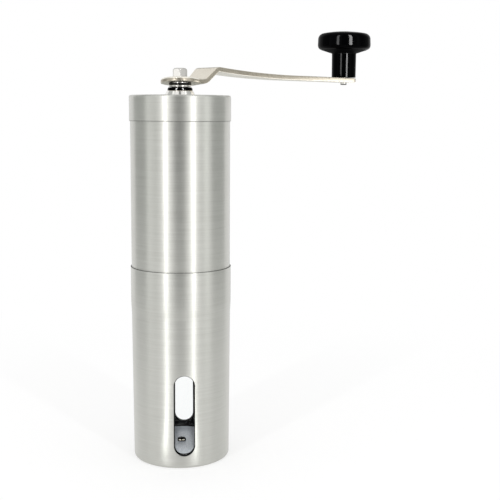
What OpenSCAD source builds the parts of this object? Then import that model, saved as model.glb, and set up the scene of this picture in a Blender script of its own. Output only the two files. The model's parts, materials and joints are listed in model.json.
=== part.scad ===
// Hand coffee grinder: slim steel body, grounds cup with sight slots, conical ceramic burrs,
// lift-off lid and lift-off crank. Axis on Z, base on z = 0, sight slots facing -Y and +Y.

/* [Steel body] */
// Outside diameter of the hopper tube
tube_od = 47; // [42:0.5:56]
// Sheet thickness of the hopper tube
tube_wall = 0.5; // [0.4:0.1:1.2]
// Sheet thickness of the grounds cup and the lid
sheet = 0.4; // [0.3:0.1:1]
// Height of the closed body, from the base to the flat of the lid
body_h = 174.2; // [150:1:210]
// Radial clearance of the slip fits (cup over tube, lid over tube)
slip_gap = 0.05; // [0.03:0.01:0.1]
// Width of the rolled lip at the tube's lower end
lip_w = 2; // [1.2:0.1:3]

/* [Grounds cup] */
// Height of the cup's rim above the base
cup_h = 93.6; // [80:0.5:110]
// Depth of the socket that takes the tube
socket_h = 19; // [10:0.5:26]
// Width of the inner step that the tube stands on
seat_w = 0.25; // [0.2:0.05:0.45]
// How much the cup's radius falls from the socket to the foot
cup_taper = 0.5; // [0:0.1:1.5]
// Corner radius of the foot
foot_r = 1.6; // [0.8:0.1:3]
// Width of the sight slots
slot_w = 10; // [6:0.5:14]
// Length of the sight slots, round ends included
slot_h = 39; // [24:0.5:48]
// Height of the slots' lower ends above the base
slot_z = 6.1; // [5:0.1:12]
// Sideways shift of the slots from the axis
slot_shift = 1.3; // [0:0.1:3]

/* [Liner and window] */
// Wall of the dark inner cup
liner_wall = 1.2; // [0.8:0.1:1.6]
// Thickness of the clear window sleeve round the inner cup
sleeve_t = 0.5; // [0.3:0.1:0.8]
// How far the sleeve reaches above the slots
sleeve_over = 6; // [3:0.5:12]
// How much narrower the inner cup's slots are than the steel ones, on each side
slot_inset = 0.45; // [0.2:0.05:0.8]
// How much higher the inner cup's rear slot starts
rear_rise = 2.9; // [0:0.1:6]
// Rounding between the inner cup's floor and wall
liner_fillet = 1.5; // [0.8:0.1:3]
// Thickness of the ledge that the sleeve stands on
ledge_t = 0.8; // [0.6:0.1:1.2]
// Height of the liner's floor above the base
liner_floor_z = 6.3; // [4:0.1:6.4]
// Thickness of the liner's floor
liner_floor_t = 1.8; // [1.4:0.1:2.4]
// Radial gap between the inner cup, the sleeve and the steel cup
liner_gap = 0.1; // [0.05:0.05:0.3]
// Diameter of the moulding gate mark in the floor
gate_d = 4.4; // [2:0.1:6]

/* [Lid] */
// Height of the lid's skirt, with the top
lid_h = 11.9; // [9:0.1:16]
// Rounding of the lid's top edge
lid_edge_r = 1; // [0.5:0.1:2]
// Height of the raised cone in the middle of the lid
cone_h = 2.3; // [1.5:0.1:4]
// Diameter at the foot of the cone
cone_d = 13.4; // [13:0.1:16]
// Diameter at the top of the cone
cone_top_d = 12; // [11.8:0.1:12.8]
// Height of the black bush above the cone
bush_h = 1.3; // [0.8:0.1:3]
// Thickness of the plastic insert's disc
insert_t = 1.2; // [0.8:0.1:2]
// Depth of the insert's ring below its disc
insert_ring_h = 7; // [4:0.5:9]
// Wall of the insert's ring
insert_wall = 1.2; // [0.8:0.1:2]

/* [Shaft] */
// Diameter of the drive shaft
shaft_d = 8; // [7.6:0.1:8.4]
// Corner radius of the five-sided drive end
drive_r = 3.6; // [3:0.1:3.7]
// Turn of the drive end's first corner from +X, degrees
drive_turn = -17; // [-36:1:36]
// Height of the drive end above the crank plate
drive_stand = 4.4; // [3:0.1:8]
// Diameter of the threaded lower end
thread_d = 6; // [5:0.1:6.2]
// Distance across the two flats that drive the inner burr
flats_w = 6.4; // [6.3:0.1:7]
// Radial running clearance of the shaft in its bushes
run_gap = 0.06; // [0.03:0.01:0.1]

/* [Burr carrier] */
// Height of the carrier
carrier_h = 34; // [31:0.5:40]
// Radial gap between the carrier and the tube
carrier_gap = 0.05; // [0.03:0.01:0.2]
// Diameter of the throat above the burrs
throat_d = 27; // [26:0.5:31]
// Diameter of the hub that holds the shaft bush
hub_ring_d = 14; // [13.5:0.1:16]
// Height of the hub and its spokes
spoke_h = 8; // [6:0.5:9]
// Width of a spoke
spoke_w = 3; // [2:0.2:5]
// Number of spokes
spokes = 3; // [3:1:5]
// Wall of the carrier at its top
carrier_wall = 1.2; // [1:0.1:2]

/* [Burrs] */
// Outside diameter of the outer burr
outer_burr_d = 36; // [34:0.5:38]
// Height of the outer burr
outer_burr_h = 14; // [12:0.5:15]
// Height of the inner burr
inner_burr_h = 14; // [13:0.5:14.5]
// Diameter of the inner burr at its foot
inner_burr_d = 26; // [24:0.5:26.5]
// Diameter of the inner burr at its tip
inner_tip_d = 12.6; // [12.4:0.1:14]
// Height of the fine grinding band
fine_h = 5; // [4:0.5:6]
// Diameter of the inner burr at the top of the fine band
fine_top_d = 22.4; // [20:0.2:23]
// Radial grinding gap at the foot of the burrs
grind_gap = 0.5; // [0.4:0.05:1]
// Radial gap at the top of the fine band
break_gap = 1; // [0.8:0.1:2]
// Number of fine teeth on each burr
fine_teeth = 30; // [18:1:40]
// Number of spiral breaker ridges on the inner burr
ridges = 6; // [4:1:9]
// Depth of the fine teeth
fine_depth = 0.8; // [0.4:0.1:1.2]
// Depth of the spiral flutes
flute_depth = 2.2; // [1:0.1:2.4]

/* [Grind adjuster] */
// Diameter of the adjuster dial
dial_d = 24; // [20:0.5:25]
// Height of the adjuster dial
dial_h = 9; // [8:0.5:14]
// Number of grip lobes on the dial
dial_lobes = 12; // [6:1:18]
// Distance across the flats of the dial's nut
nut_af = 10; // [9:0.1:11]
// Height of the dial's nut
nut_h = 5; // [3:0.5:5.5]
// Clicks in one turn of the dial
clicks = 12; // [6:1:18]
// Wire diameter of the burr spring
wire_d = 1.2; // [0.8:0.1:1.2]
// Turns of the burr spring
spring_turns = 4; // [3:0.5:5]

/* [Crank] */
// Distance from the shaft to the knob
crank_len = 117.5; // [90:1:150]
// Thickness of the crank plate
plate_t = 2.2; // [1.6:0.1:3]
// Diameter of the crank's hub
hub_d = 18.2; // [15:0.2:22]
// Width of the arm at the hub
arm_w = 16; // [13:0.5:18]
// Width of the arm at the knob
arm_tip_w = 13.4; // [10:0.2:16]
// Distance from the shaft to the foot of the riser
riser_x = 8.7; // [8:0.1:14]
// Slope of the riser, degrees
riser_angle = 36; // [30:1:55]
// Height of the arm's crest above the hub
crest_rise = 5.3; // [4:0.1:9]
// Height of the arm's far end above the hub
tip_rise = 2.9; // [1:0.1:3.5]
// Slope of the arm just behind the crest, degrees
crest_slope = 5.2; // [4:0.1:7]
// Radius of the plate's bends, at mid thickness
bend_r = 3.4; // [2:0.1:4]
// Rest direction of the crank, degrees from +X
crank_angle = 40; // [0:1:360]
// Thickness of the hub's lower flange
flange_t = 0.9; // [0.6:0.1:2]
// Diameter of the hub's lower flange
flange_d = 10.6; // [10:0.1:13]
// Height of the rubber ring under the plate
ring_h = 1.3; // [0.8:0.1:2.4]
// Outside diameter of the rubber ring
ring_d = 10.1; // [9.8:0.1:12]
// Wall between the five-sided hole and the hub's neck
neck_wall = 0.75; // [0.6:0.05:0.9]

/* [Knob] */
// Diameter of the knob's head
knob_d = 29.1; // [24:0.1:36]
// Height of the knob
knob_h = 24.9; // [22:0.1:34]
// Diameter of the knob's stem
stem_d = 12.8; // [11:0.1:16]
// Height of the knob's stem
stem_h = 13.7; // [11:0.1:16]
// Height of the cone under the knob's head
under_h = 2.4; // [1.5:0.1:3]
// Rounding of the head's top edge
crown_r = 4.6; // [3:0.1:5]
// Diameter of the pin in the knob
pin_d = 5; // [4:0.1:6]
// Diameter of the pin through the plate
rivet_d = 3.6; // [3:0.1:4.5]
// How far the rivet stands out under the plate
rivet_h = 1.4; // [0.8:0.1:2]

/* [Hidden] */
$fn = 96;
// Steps along a rounded edge and along a bend
ARC_STEPS = 6;
// Gap between flat faces that run on each other
face_gap = 0.2;
// Radial clearance of pieces that are pressed or laid into a seat
seat_gap = 0.05;
// Amount by which a cutter passes the face that it cuts
over = 1;

// Radii of the steel body
tube_r = tube_od / 2;
tube_in_r = tube_r - tube_wall;
socket_in_r = tube_r + slip_gap;
socket_r = socket_in_r + sheet;
cup_in_r = tube_r - seat_w;
cup_r = cup_in_r + sheet;
base_r = cup_r - cup_taper;
lid_r = socket_r;

// Heights of the steel body
seat_z = cup_h - socket_h;
lid_z = body_h - lid_h;
insert_z = body_h - sheet - insert_t;
tube_top_z = insert_z;
lip_top_z = seat_z + tube_wall;

// Inner cup: top of the sleeve's ledge, depth of the gate mark
ledge_z = foot_r + face_gap + ledge_t;
gate_depth = 0.8;

// Stack on the shaft, from the lid to the crank
cone_top_z = body_h + cone_h;
bush_top_z = cone_top_z + bush_h;
flange_z = bush_top_z + face_gap;
ring_z = flange_z + flange_t;
plate_z = ring_z + ring_h;
plate_top_z = plate_z + plate_t;
shaft_top_z = plate_top_z + drive_stand;
shaft_r = shaft_d / 2;
bush_bore_r = shaft_r + run_gap;
bush_neck_t = 0.9;
bush_neck_r = bush_bore_r + bush_neck_t;
drive_hole_r = drive_r + run_gap;
neck_r = drive_hole_r + neck_wall;

// Burr carrier and what it holds
carrier_r = tube_in_r - carrier_gap;
carrier_z = lip_top_z;
carrier_top_z = carrier_z + carrier_h;
retainer_h = 3;
retainer_edge = 0.5;
retainer_r = tube_in_r - lip_w - seat_gap - retainer_edge;
retainer_gap = 1.5;
retainer_z = carrier_z + face_gap;
outer_burr_z = retainer_z + retainer_h;
outer_burr_r = outer_burr_d / 2;
pocket_top_z = outer_burr_z + outer_burr_h;
throat_roof = 1.2;
funnel_slope = 0.8;
spoke_top_z = carrier_top_z;
spoke_z = spoke_top_z - spoke_h;
shaft_bush_t = 1.5;
shaft_bush_r = bush_bore_r + shaft_bush_t;
collar_t = 1;
collar_r = hub_ring_d / 2 - 0.5;
washer_t = 0.6;
thrust_z = spoke_top_z + collar_t;
thrust_t = 0.8;
clip_z = thrust_z + thrust_t;
clip_t = 1;
clip_depth = 0.7;

// Inner burr, its core and the adjuster below it
burr_drop = 0.7;
inner_burr_z = outer_burr_z - burr_drop;
hole_gap = 0.3;
inner_burr_r = inner_burr_d / 2;
inner_top_z = inner_burr_z + inner_burr_h;
core_r = 6.5;
core_h = 7;
core_flange_r = 9.5;
core_flange_t = 1.4;
core_z = inner_burr_z - core_flange_t;
notch_depth = 0.5;
spring_seat_z = inner_top_z + washer_t;
spring_top_z = spoke_z - washer_t;
spring_gap = 0.5;
washer_edge = 0.4;
spring_r = shaft_r + wire_d / 2 + spring_gap;
washer_r = spring_r + wire_d / 2 + washer_edge;
dial_r = dial_d / 2;
dial_top_z = core_z - face_gap;
dial_z = dial_top_z - dial_h;
nut_corner_r = nut_af / 2 / cos(30);
nut_cover = 1;
nut_z = dial_z + nut_cover;
nut_top_z = nut_z + nut_h;
thread_r = thread_d / 2;
// The flats end between the nut and the dial's face, clear of both over the adjuster's travel
flats_drop = 1.4;
flats_z = dial_top_z - flats_drop;
shaft_stand = 0.6;
shaft_z = dial_z - shaft_stand;

// Knob and its pin
tip_z = plate_z + tip_rise;
tip_top_z = tip_z + plate_t;
knob_gap = 0.3;
knob_z = tip_top_z + knob_gap;
pin_r = pin_d / 2;
rivet_r = rivet_d / 2;
bulb_edge = 0.6;
bulb_r = pin_r + bulb_edge;
bulb_h = 2;
bulb_drop = 1;
bulb_z = knob_z + stem_h - bulb_drop;

// Points on a circular arc from angle a0 to angle a1
function arc(c, r, a0, a1, n = ARC_STEPS) =
    [for (i = [0:n]) c + r * [cos(a0 + (a1 - a0) * i / n), sin(a0 + (a1 - a0) * i / n)]];

// Radius of the cup's outer wall at a height below the socket
function cup_r_at(z) = base_r + cup_taper * z / seat_z;

// Outer radii of the window sleeve and of the inner cup at a height below the socket
function sleeve_r_at(z) = cup_r_at(z) - sheet - liner_gap;
function liner_r_at(z) = sleeve_r_at(z) - sleeve_t - liner_gap;

// Ring of rectangular section
module ring(r_out, r_in, z, h) {
    translate([0, 0, z])
    difference() {
        cylinder(r = r_out, h = h);
        translate([0, 0, -over]) cylinder(r = r_in, h = h + 2 * over);
    }
}

// Upright slot with round ends, cut along Y from y; narrower by an inset, its foot higher by a rise
module slot_cutter(y, len, inset = 0, rise = 0) {
    end_r = slot_w / 2 - inset;
    straight = slot_h - slot_w - rise;
    translate([slot_shift, y + len, slot_z + rise + slot_w / 2])
    rotate([90, 0, 0])
    linear_extrude(height = len)
    union() {
        circle(r = end_r);
        translate([0, straight]) circle(r = end_r);
        translate([-end_r, 0]) square([2 * end_r, straight]);
    }
}

// Drawn steel cup: flat floor, slightly tapered wall, widened socket at the rim
module grounds_cup() {
    step_z = seat_z - sheet;
    color("#c9c8c5")
    difference() {
        rotate_extrude()
        polygon(concat(
            [[0, 0]],
            arc([base_r - foot_r, foot_r], foot_r, -90, 0),
            [[cup_r, step_z - sheet], [socket_r, step_z], [socket_r, cup_h],
             [socket_in_r, cup_h], [socket_in_r, seat_z], [cup_in_r, seat_z],
             [cup_in_r, step_z - sheet]],
            arc([base_r - foot_r, foot_r], foot_r - sheet, 0, -90),
            [[0, sheet]]));
        slot_cutter(-tube_od, 2 * tube_od);
    }
}

// Dark moulded inner cup: slotted like the steel, stands on its own foot ring
module cup_liner() {
    top_z = seat_z - face_gap;
    top_r = liner_r_at(top_z);
    ledge_low_z = ledge_z - ledge_t;
    foot_ring_r = base_r - foot_r - liner_gap;
    floor_low = liner_floor_z - liner_floor_t;
    fillet_r = liner_r_at(liner_floor_z) - liner_wall - liner_fillet;
    color("#1c1c1e")
    difference() {
        rotate_extrude()
        polygon(concat(
            [[0, floor_low], [foot_ring_r - liner_wall, floor_low], [foot_ring_r - liner_wall, sheet],
             [foot_ring_r, sheet], [sleeve_r_at(ledge_low_z), ledge_low_z],
             [sleeve_r_at(ledge_z), ledge_z], [liner_r_at(ledge_z), ledge_z],
             [top_r, top_z], [top_r - liner_wall, top_z]],
            arc([fillet_r, liner_floor_z + liner_fillet], liner_fillet, 0, -90),
            [[0, liner_floor_z]]));
        slot_cutter(-tube_od, tube_od, slot_inset);
        slot_cutter(0, tube_od, slot_inset, rear_rise);
        translate([0, 0, liner_floor_z - gate_depth]) cylinder(d = gate_d, h = gate_depth + over);
    }
}

// Thin clear sleeve between the steel cup and the inner cup: the window behind the slots
module window_sleeve() {
    high_z = slot_z + slot_h + sleeve_over;
    color("#dfe6e8")
    rotate_extrude()
    polygon([[sleeve_r_at(ledge_z) - sleeve_t, ledge_z], [sleeve_r_at(ledge_z), ledge_z],
             [sleeve_r_at(high_z), high_z], [sleeve_r_at(high_z) - sleeve_t, high_z]]);
}

// Steel tube that holds the beans, with a lip rolled in at its lower end
module hopper_tube() {
    lip_r = tube_in_r - lip_w;
    color("#c9c8c5")
    rotate_extrude()
    polygon(concat(
        arc([tube_r - tube_wall, seat_z + tube_wall], tube_wall, -90, 0),
        [[tube_r, tube_top_z], [tube_in_r, tube_top_z], [tube_in_r, lip_top_z],
         [lip_r, lip_top_z], [lip_r, seat_z]]));
}

// Moulded carrier: burr pocket below, bean funnel, spoked hub for the shaft above
module burr_carrier() {
    throat_z = pocket_top_z + throat_roof;
    funnel_r = carrier_r - carrier_wall;
    throat_r = throat_d / 2;
    funnel_top_z = throat_z + (funnel_r - throat_r) * funnel_slope;
    pocket_r = outer_burr_r + seat_gap;
    mouth_r = retainer_r + seat_gap;
    bore_r = shaft_bush_r + seat_gap;
    color("#2b2b2d")
    difference() {
        union() {
            rotate_extrude()
            polygon([[mouth_r, carrier_z], [carrier_r, carrier_z], [carrier_r, carrier_top_z],
                     [funnel_r, carrier_top_z], [funnel_r, funnel_top_z], [throat_r, throat_z],
                     [throat_r, pocket_top_z], [pocket_r, pocket_top_z], [pocket_r, outer_burr_z],
                     [mouth_r, outer_burr_z]]);
            translate([0, 0, spoke_z]) cylinder(d = hub_ring_d, h = spoke_h);
            for (i = [0:spokes - 1])
                rotate([0, 0, i * 360 / spokes])
                translate([0, -spoke_w / 2, spoke_z])
                cube([funnel_r + carrier_wall / 2, spoke_w, spoke_h - collar_t]);
        }
        translate([0, 0, spoke_z - over]) cylinder(r = bore_r, h = spoke_h + 2 * over);
    }
}

// Plain bearing bush with a collar on the hub
module shaft_bush() {
    color("#e9e4d6")
    difference() {
        union() {
            translate([0, 0, spoke_z]) cylinder(r = shaft_bush_r, h = spoke_h + collar_t);
            translate([0, 0, spoke_top_z]) cylinder(r = collar_r, h = collar_t);
        }
        translate([0, 0, spoke_z - over]) cylinder(r = bush_bore_r, h = spoke_h + collar_t + 2 * over);
    }
}

// Toothed disc: tips on radius r, saw-shaped teeth of the given depth
module saw_disc(r, teeth, depth) {
    step = 360 / teeth;
    land = 0.18;
    fall = 0.82;
    at = [0, land, fall];
    radius = [r, r, r - depth];
    polygon([for (i = [0:teeth - 1], k = [0:2])
        let (a = (i + at[k]) * step)
        radius[k] * [cos(a), sin(a)]]);
}

// Ceramic ring with inward teeth: coarse at its mouth, fine at its foot
module outer_burr() {
    // The inner burr stands lower, so its cone is narrower beside this ring's foot
    lean = burr_drop * (inner_burr_d - fine_top_d) / 2 / fine_h;
    mouth_edge = 0.6;
    foot_r_in = inner_burr_r + grind_gap - lean / 2;
    fine_r = fine_top_d / 2 + break_gap;
    mouth_r = throat_d / 2 - mouth_edge;
    coarse_h = outer_burr_h - fine_h;
    fine_twist = 10;
    coarse_twist = 24;
    color("#efece4")
    difference() {
        translate([0, 0, outer_burr_z]) cylinder(r = outer_burr_r, h = outer_burr_h);
        translate([0, 0, outer_burr_z])
        linear_extrude(height = fine_h, twist = fine_twist, scale = fine_r / foot_r_in, slices = 4)
        saw_disc(foot_r_in + fine_depth, fine_teeth, fine_depth);
        translate([0, 0, outer_burr_z + fine_h])
        linear_extrude(height = coarse_h, twist = coarse_twist, scale = mouth_r / fine_r, slices = 6)
        saw_disc(fine_r + fine_depth, 2 * ridges, fine_depth);
    }
}

// Ring that holds the outer burr up in its pocket
module burr_retainer() {
    notch_w = 3;
    notch_cut = 1.2;
    in_r = inner_burr_r + retainer_gap;
    color("#2b2b2d")
    difference() {
        ring(retainer_r, in_r, retainer_z, retainer_h);
        for (i = [0:3])
            rotate([0, 0, 45 + i * 90])
            translate([inner_burr_r, -notch_w / 2, retainer_z - over])
            cube([retainer_r - in_r, notch_w, notch_cut + over]);
    }
}

// Steel lid: flat top with rounded edge, skirt over the tube, raised cone round the shaft
module lid_cap() {
    cone_r = cone_d / 2;
    cone_top_r = cone_top_d / 2;
    hole_r = bush_neck_r + seat_gap;
    in_z = body_h - sheet;
    color("#c9c8c5")
    rotate_extrude()
    polygon(concat(
        [[socket_in_r, lid_z], [lid_r, lid_z]],
        arc([lid_r - lid_edge_r, body_h - lid_edge_r], lid_edge_r, 0, 90),
        [[cone_r, body_h], [cone_top_r, cone_top_z], [hole_r, cone_top_z], [hole_r, cone_top_z - sheet],
         [cone_top_r - sheet, cone_top_z - sheet], [cone_r - sheet, in_z]],
        arc([lid_r - lid_edge_r, body_h - lid_edge_r], lid_edge_r - sheet, 90, 0)));
}

// Plastic disc and ring that centre the lid in the tube
module lid_insert() {
    disc_edge = 0.4;
    disc_r = tube_r - disc_edge;
    ring_r = tube_in_r - 2 * slip_gap;
    color("#2b2b2d")
    difference() {
        union() {
            translate([0, 0, insert_z]) cylinder(r = disc_r, h = insert_t);
            ring(ring_r, ring_r - insert_wall, insert_z - insert_ring_h, insert_ring_h);
        }
        translate([0, 0, insert_z - over])
        cylinder(r = bush_neck_r + seat_gap, h = insert_t + 2 * over);
    }
}

// Black bush in the middle of the lid, snapped under the insert
module lid_bush() {
    foot_edge = 0.2;
    foot_t = 0.4;
    top_edge = 0.1;
    low_r = cone_top_d / 2 - foot_edge;
    top_r = flange_d / 2 - top_edge;
    snap_w = 1.2;
    snap_h = 1.6;
    snap_r = bush_neck_r + snap_w;
    snap_z = insert_z - snap_h;
    color("#161616")
    rotate_extrude()
    polygon([[bush_bore_r, snap_z], [snap_r - snap_w / 2, snap_z], [snap_r, insert_z],
             [bush_neck_r, insert_z], [bush_neck_r, cone_top_z], [low_r, cone_top_z],
             [low_r, cone_top_z + foot_t], [top_r, bush_top_z], [bush_bore_r, bush_top_z]]);
}

// Shaft: threaded foot, two flats for the burr, clip groove, five-sided end with a turned chamfer
module drive_shaft() {
    chamfer = 1;
    flats_short = 1;
    round_z = inner_top_z - flats_short;
    tip_r = drive_r - chamfer;
    color("#d4d2cd")
    difference() {
        union() {
            translate([0, 0, shaft_z]) cylinder(r = thread_r, h = flats_z - shaft_z + over);
            intersection() {
                translate([0, 0, flats_z]) cylinder(r = shaft_r, h = round_z - flats_z + over);
                translate([-flats_w / 2, -shaft_d, flats_z])
                cube([flats_w, 2 * shaft_d, round_z - flats_z + over]);
            }
            translate([0, 0, round_z]) cylinder(r = shaft_r, h = flange_z - round_z);
            intersection() {
                rotate([0, 0, drive_turn])
                translate([0, 0, flange_z - over])
                cylinder(r = drive_r, h = shaft_top_z - flange_z + over, $fn = 5);
                rotate_extrude()
                polygon([[0, flange_z - over], [drive_r + over, flange_z - over],
                         [drive_r + over, shaft_top_z - chamfer - over], [tip_r, shaft_top_z],
                         [0, shaft_top_z]]);
            }
        }
        ring(shaft_r + over, shaft_r - clip_depth, clip_z, clip_t);
    }
}

// Steel washer between the clip and the bush
module thrust_washer() {
    color("#b9b8b4")
    ring(collar_r - seat_gap * 2, shaft_r + seat_gap * 2, thrust_z, thrust_t);
}

// Open retaining clip in the shaft's groove
module shaft_clip() {
    clip_w = 2;
    mouth_share = 0.8;
    clip_r = shaft_r + clip_w;
    mouth_w = 2 * (shaft_r - clip_depth) * mouth_share;
    in_r = shaft_r - clip_depth + seat_gap;
    color("#8d8c88")
    difference() {
        ring(clip_r, in_r, clip_z + seat_gap, clip_t - 2 * seat_gap);
        translate([0, -mouth_w / 2, clip_z - over]) cube([2 * clip_r, mouth_w, clip_t + 2 * over]);
    }
}

// Washer between the hub and the spring
module spring_top_washer() {
    color("#b9b8b4")
    ring(washer_r, shaft_r + seat_gap * 2, spring_top_z, washer_t);
}

// Washer between the spring and the inner burr
module spring_seat_washer() {
    color("#b9b8b4")
    ring(washer_r, shaft_r + seat_gap * 2, inner_top_z, washer_t);
}

// Coil spring with closed ends, swept along its helix
module burr_spring() {
    sides = 8;
    per_turn = 18;
    end_turn = 0.6;
    wire_r = wire_d / 2;
    low = spring_seat_z + wire_r;
    high = spring_top_z - wire_r;
    turns = spring_turns + 2 * end_turn;
    rings = round(turns * per_turn);
    function rise(t) = low + (high - low) * max(0, min(1, (t * turns - end_turn) / spring_turns));
    function ring_points(t) = [for (k = [0:sides - 1])
        let (a = 360 * turns * t, q = spring_r + wire_r * cos(360 * k / sides))
        [q * cos(a), q * sin(a), rise(t) + wire_r * sin(360 * k / sides)]];
    points = [for (i = [0:rings]) each ring_points(i / rings)];
    walls = [for (i = [0:rings - 1], k = [0:sides - 1])
        let (b = i * sides, n = (k + 1) % sides)
        [b + k, b + sides + k, b + sides + n, b + n]];
    ends = [[for (k = [0:sides - 1]) k], [for (k = [sides - 1:-1:0]) rings * sides + k]];
    color("#a5a4a0")
    polyhedron(points = points, faces = concat(walls, ends), convexity = 8);
}

// Ceramic cone: spiral ridges that break the beans, a band of fine teeth that grinds them
module inner_burr() {
    fine_r = fine_top_d / 2;
    coarse_h = inner_burr_h - fine_h;
    fine_twist = -10;
    coarse_twist = -70;
    color("#efece4")
    difference() {
        union() {
            translate([0, 0, inner_burr_z])
            linear_extrude(height = fine_h, twist = fine_twist, scale = fine_r / inner_burr_r, slices = 4)
            saw_disc(inner_burr_r, fine_teeth, fine_depth);
            translate([0, 0, inner_burr_z + fine_h])
            linear_extrude(height = coarse_h, twist = coarse_twist, slices = 14,
                           scale = inner_tip_d / fine_top_d)
            saw_disc(fine_r, ridges, flute_depth);
        }
        translate([0, 0, inner_burr_z - over]) cylinder(r = core_r + seat_gap, h = core_h + over, $fn = 6);
        translate([0, 0, inner_burr_z]) cylinder(r = shaft_r + hole_gap, h = inner_burr_h + over);
    }
}

// Plastic core that drives the burr from the shaft's flats; notched underside for the clicks
module burr_core() {
    notch_w = 1.6;
    hole_r = shaft_r + run_gap;
    color("#3a3a3c")
    difference() {
        union() {
            translate([0, 0, core_z]) cylinder(r = core_flange_r, h = core_flange_t);
            translate([0, 0, inner_burr_z]) cylinder(r = core_r, h = core_h - seat_gap, $fn = 6);
        }
        intersection() {
            translate([0, 0, core_z - over]) cylinder(r = hole_r, h = core_h + core_flange_t + 2 * over);
            translate([-flats_w / 2 - run_gap, -shaft_d, core_z - over])
            cube([flats_w + 2 * run_gap, 2 * shaft_d, core_h + core_flange_t + 2 * over]);
        }
        for (i = [0:clicks - 1])
            rotate([0, 0, i * 360 / clicks])
            translate([core_r, -notch_w / 2, core_z - over])
            cube([core_flange_r, notch_w, notch_depth + over]);
    }
}

// Dial that sets the grind: lobed grip, nut pocket from below, two nibs for the clicks
module adjuster_dial() {
    lobe_share = 0.13;
    lobe_r = dial_r * lobe_share;
    lobe_out = lobe_r * 0.3;
    nib_r = 0.6;
    nib_h = face_gap / 2;
    collar_h = 2;
    color("#2b2b2d")
    difference() {
        union() {
            translate([0, 0, dial_z]) cylinder(r = dial_r, h = dial_h - collar_h);
            translate([0, 0, dial_z]) cylinder(r = core_flange_r, h = dial_h);
            for (a = [0, 180])
                rotate([0, 0, a])
                translate([(core_r + core_flange_r) / 2, 0, dial_top_z - over])
                cylinder(r = nib_r, h = over + nib_h);
        }
        for (i = [0:dial_lobes - 1])
            rotate([0, 0, (i + 0.5) * 360 / dial_lobes])
            translate([dial_r + lobe_out, 0, dial_z - over])
            cylinder(r = lobe_r, h = dial_h - collar_h + 2 * over);
        translate([0, 0, dial_z - over])
        cylinder(r = nut_corner_r + seat_gap, h = nut_top_z - dial_z + over, $fn = 6);
        translate([0, 0, dial_z]) cylinder(r = shaft_r + hole_gap, h = dial_h + over);
    }
}

// Nut in the dial, on the shaft's thread
module dial_nut() {
    color("#c8a951")
    translate([0, 0, nut_z])
    difference() {
        cylinder(r = nut_corner_r, h = nut_h, $fn = 6);
        translate([0, 0, -over]) cylinder(r = thread_r + run_gap, h = nut_h + 2 * over);
    }
}

// Middle line of the bent plate as [x, z, slope] stations, from the hub's back edge to the tip
function crank_line() = let (
        low_h = bend_r * (1 - cos(riser_angle)),
        riser_h = crest_rise - 2 * low_h,
        riser_len = riser_h / sin(riser_angle),
        x1 = riser_x + bend_r * sin(riser_angle),
        x2 = x1 + riser_len * cos(riser_angle),
        crest_x = x2 + bend_r * sin(riser_angle),
        back_x = crest_x + bend_r * sin(crest_slope),
        back_h = crest_rise - bend_r * (1 - cos(crest_slope)),
        sweep_r = (back_h - tip_rise) / (1 - cos(crest_slope)),
        flat_x = back_x + sweep_r * sin(crest_slope))
    concat(
        [[-hub_d, 0, 0]],
        [for (i = [0:ARC_STEPS]) let (t = riser_angle * i / ARC_STEPS)
            [riser_x + bend_r * sin(t), bend_r * (1 - cos(t)), t]],
        [for (i = [0:ARC_STEPS]) let (t = riser_angle - (riser_angle + crest_slope) * i / ARC_STEPS)
            [crest_x - bend_r * sin(t), crest_rise - bend_r * (1 - cos(t)), t]],
        [for (i = [1:ARC_STEPS]) let (t = crest_slope * (1 - i / ARC_STEPS))
            [flat_x - sweep_r * sin(t), tip_rise + sweep_r * (1 - cos(t)), -t]],
        [[crank_len + 2 * arm_tip_w, tip_rise, 0]]);

// Bent steel plate: round hub, riser, long arm that sinks gently to a round tip
module crank_arm() {
    line = crank_line();
    half = plate_t / 2;
    upper = [for (p = line) [p[0] - half * sin(p[2]), p[1] + half * cos(p[2])]];
    lower = [for (i = [len(line) - 1:-1:0]) let (p = line[i])
        [p[0] + half * sin(p[2]), p[1] - half * cos(p[2])]];
    color("#d6d1c7")
    rotate([0, 0, crank_angle])
    difference() {
        intersection() {
            translate([0, 0, plate_z + half])
            rotate([90, 0, 0])
            linear_extrude(height = 2 * hub_d, center = true)
            polygon(concat(upper, lower));
            translate([0, 0, plate_z - hub_d])
            linear_extrude(height = 3 * hub_d)
            union() {
                circle(d = hub_d);
                polygon([[0, -arm_w / 2], [crank_len, -arm_tip_w / 2],
                         [crank_len, arm_tip_w / 2], [0, arm_w / 2]]);
                translate([crank_len, 0]) circle(d = arm_tip_w);
            }
        }
        translate([0, 0, plate_z - over]) cylinder(r = neck_r + seat_gap, h = plate_t + 2 * over);
        translate([crank_len, 0, tip_z - over]) cylinder(r = rivet_r + seat_gap, h = plate_t + 2 * over);
    }
}

// Flanged steel boss in the hub, with the five-sided hole
module hub_boss() {
    color("#c4c3bf")
    difference() {
        union() {
            translate([0, 0, flange_z]) cylinder(d = flange_d, h = flange_t);
            translate([0, 0, flange_z]) cylinder(r = neck_r, h = plate_top_z - flange_z);
        }
        rotate([0, 0, drive_turn])
        translate([0, 0, flange_z - over])
        cylinder(r = drive_hole_r, h = plate_top_z - flange_z + 2 * over, $fn = 5);
    }
}

// Black rubber ring between the flange and the plate
module hub_o_ring() {
    in_r = neck_r + seat_gap;
    bulge = ring_h / 4;
    mid_z = ring_z + ring_h / 2;
    color("#151515")
    rotate_extrude()
    polygon([[in_r, ring_z + seat_gap], [ring_d / 2 - bulge, ring_z + seat_gap],
             [ring_d / 2, mid_z - bulge / 2], [ring_d / 2, mid_z + bulge / 2],
             [ring_d / 2 - bulge, ring_z + ring_h - seat_gap], [in_r, ring_z + ring_h - seat_gap]]);
}

// Places a child on the knob's axis
module at_knob() {
    rotate([0, 0, crank_angle]) translate([crank_len, 0, 0]) children();
}

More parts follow.
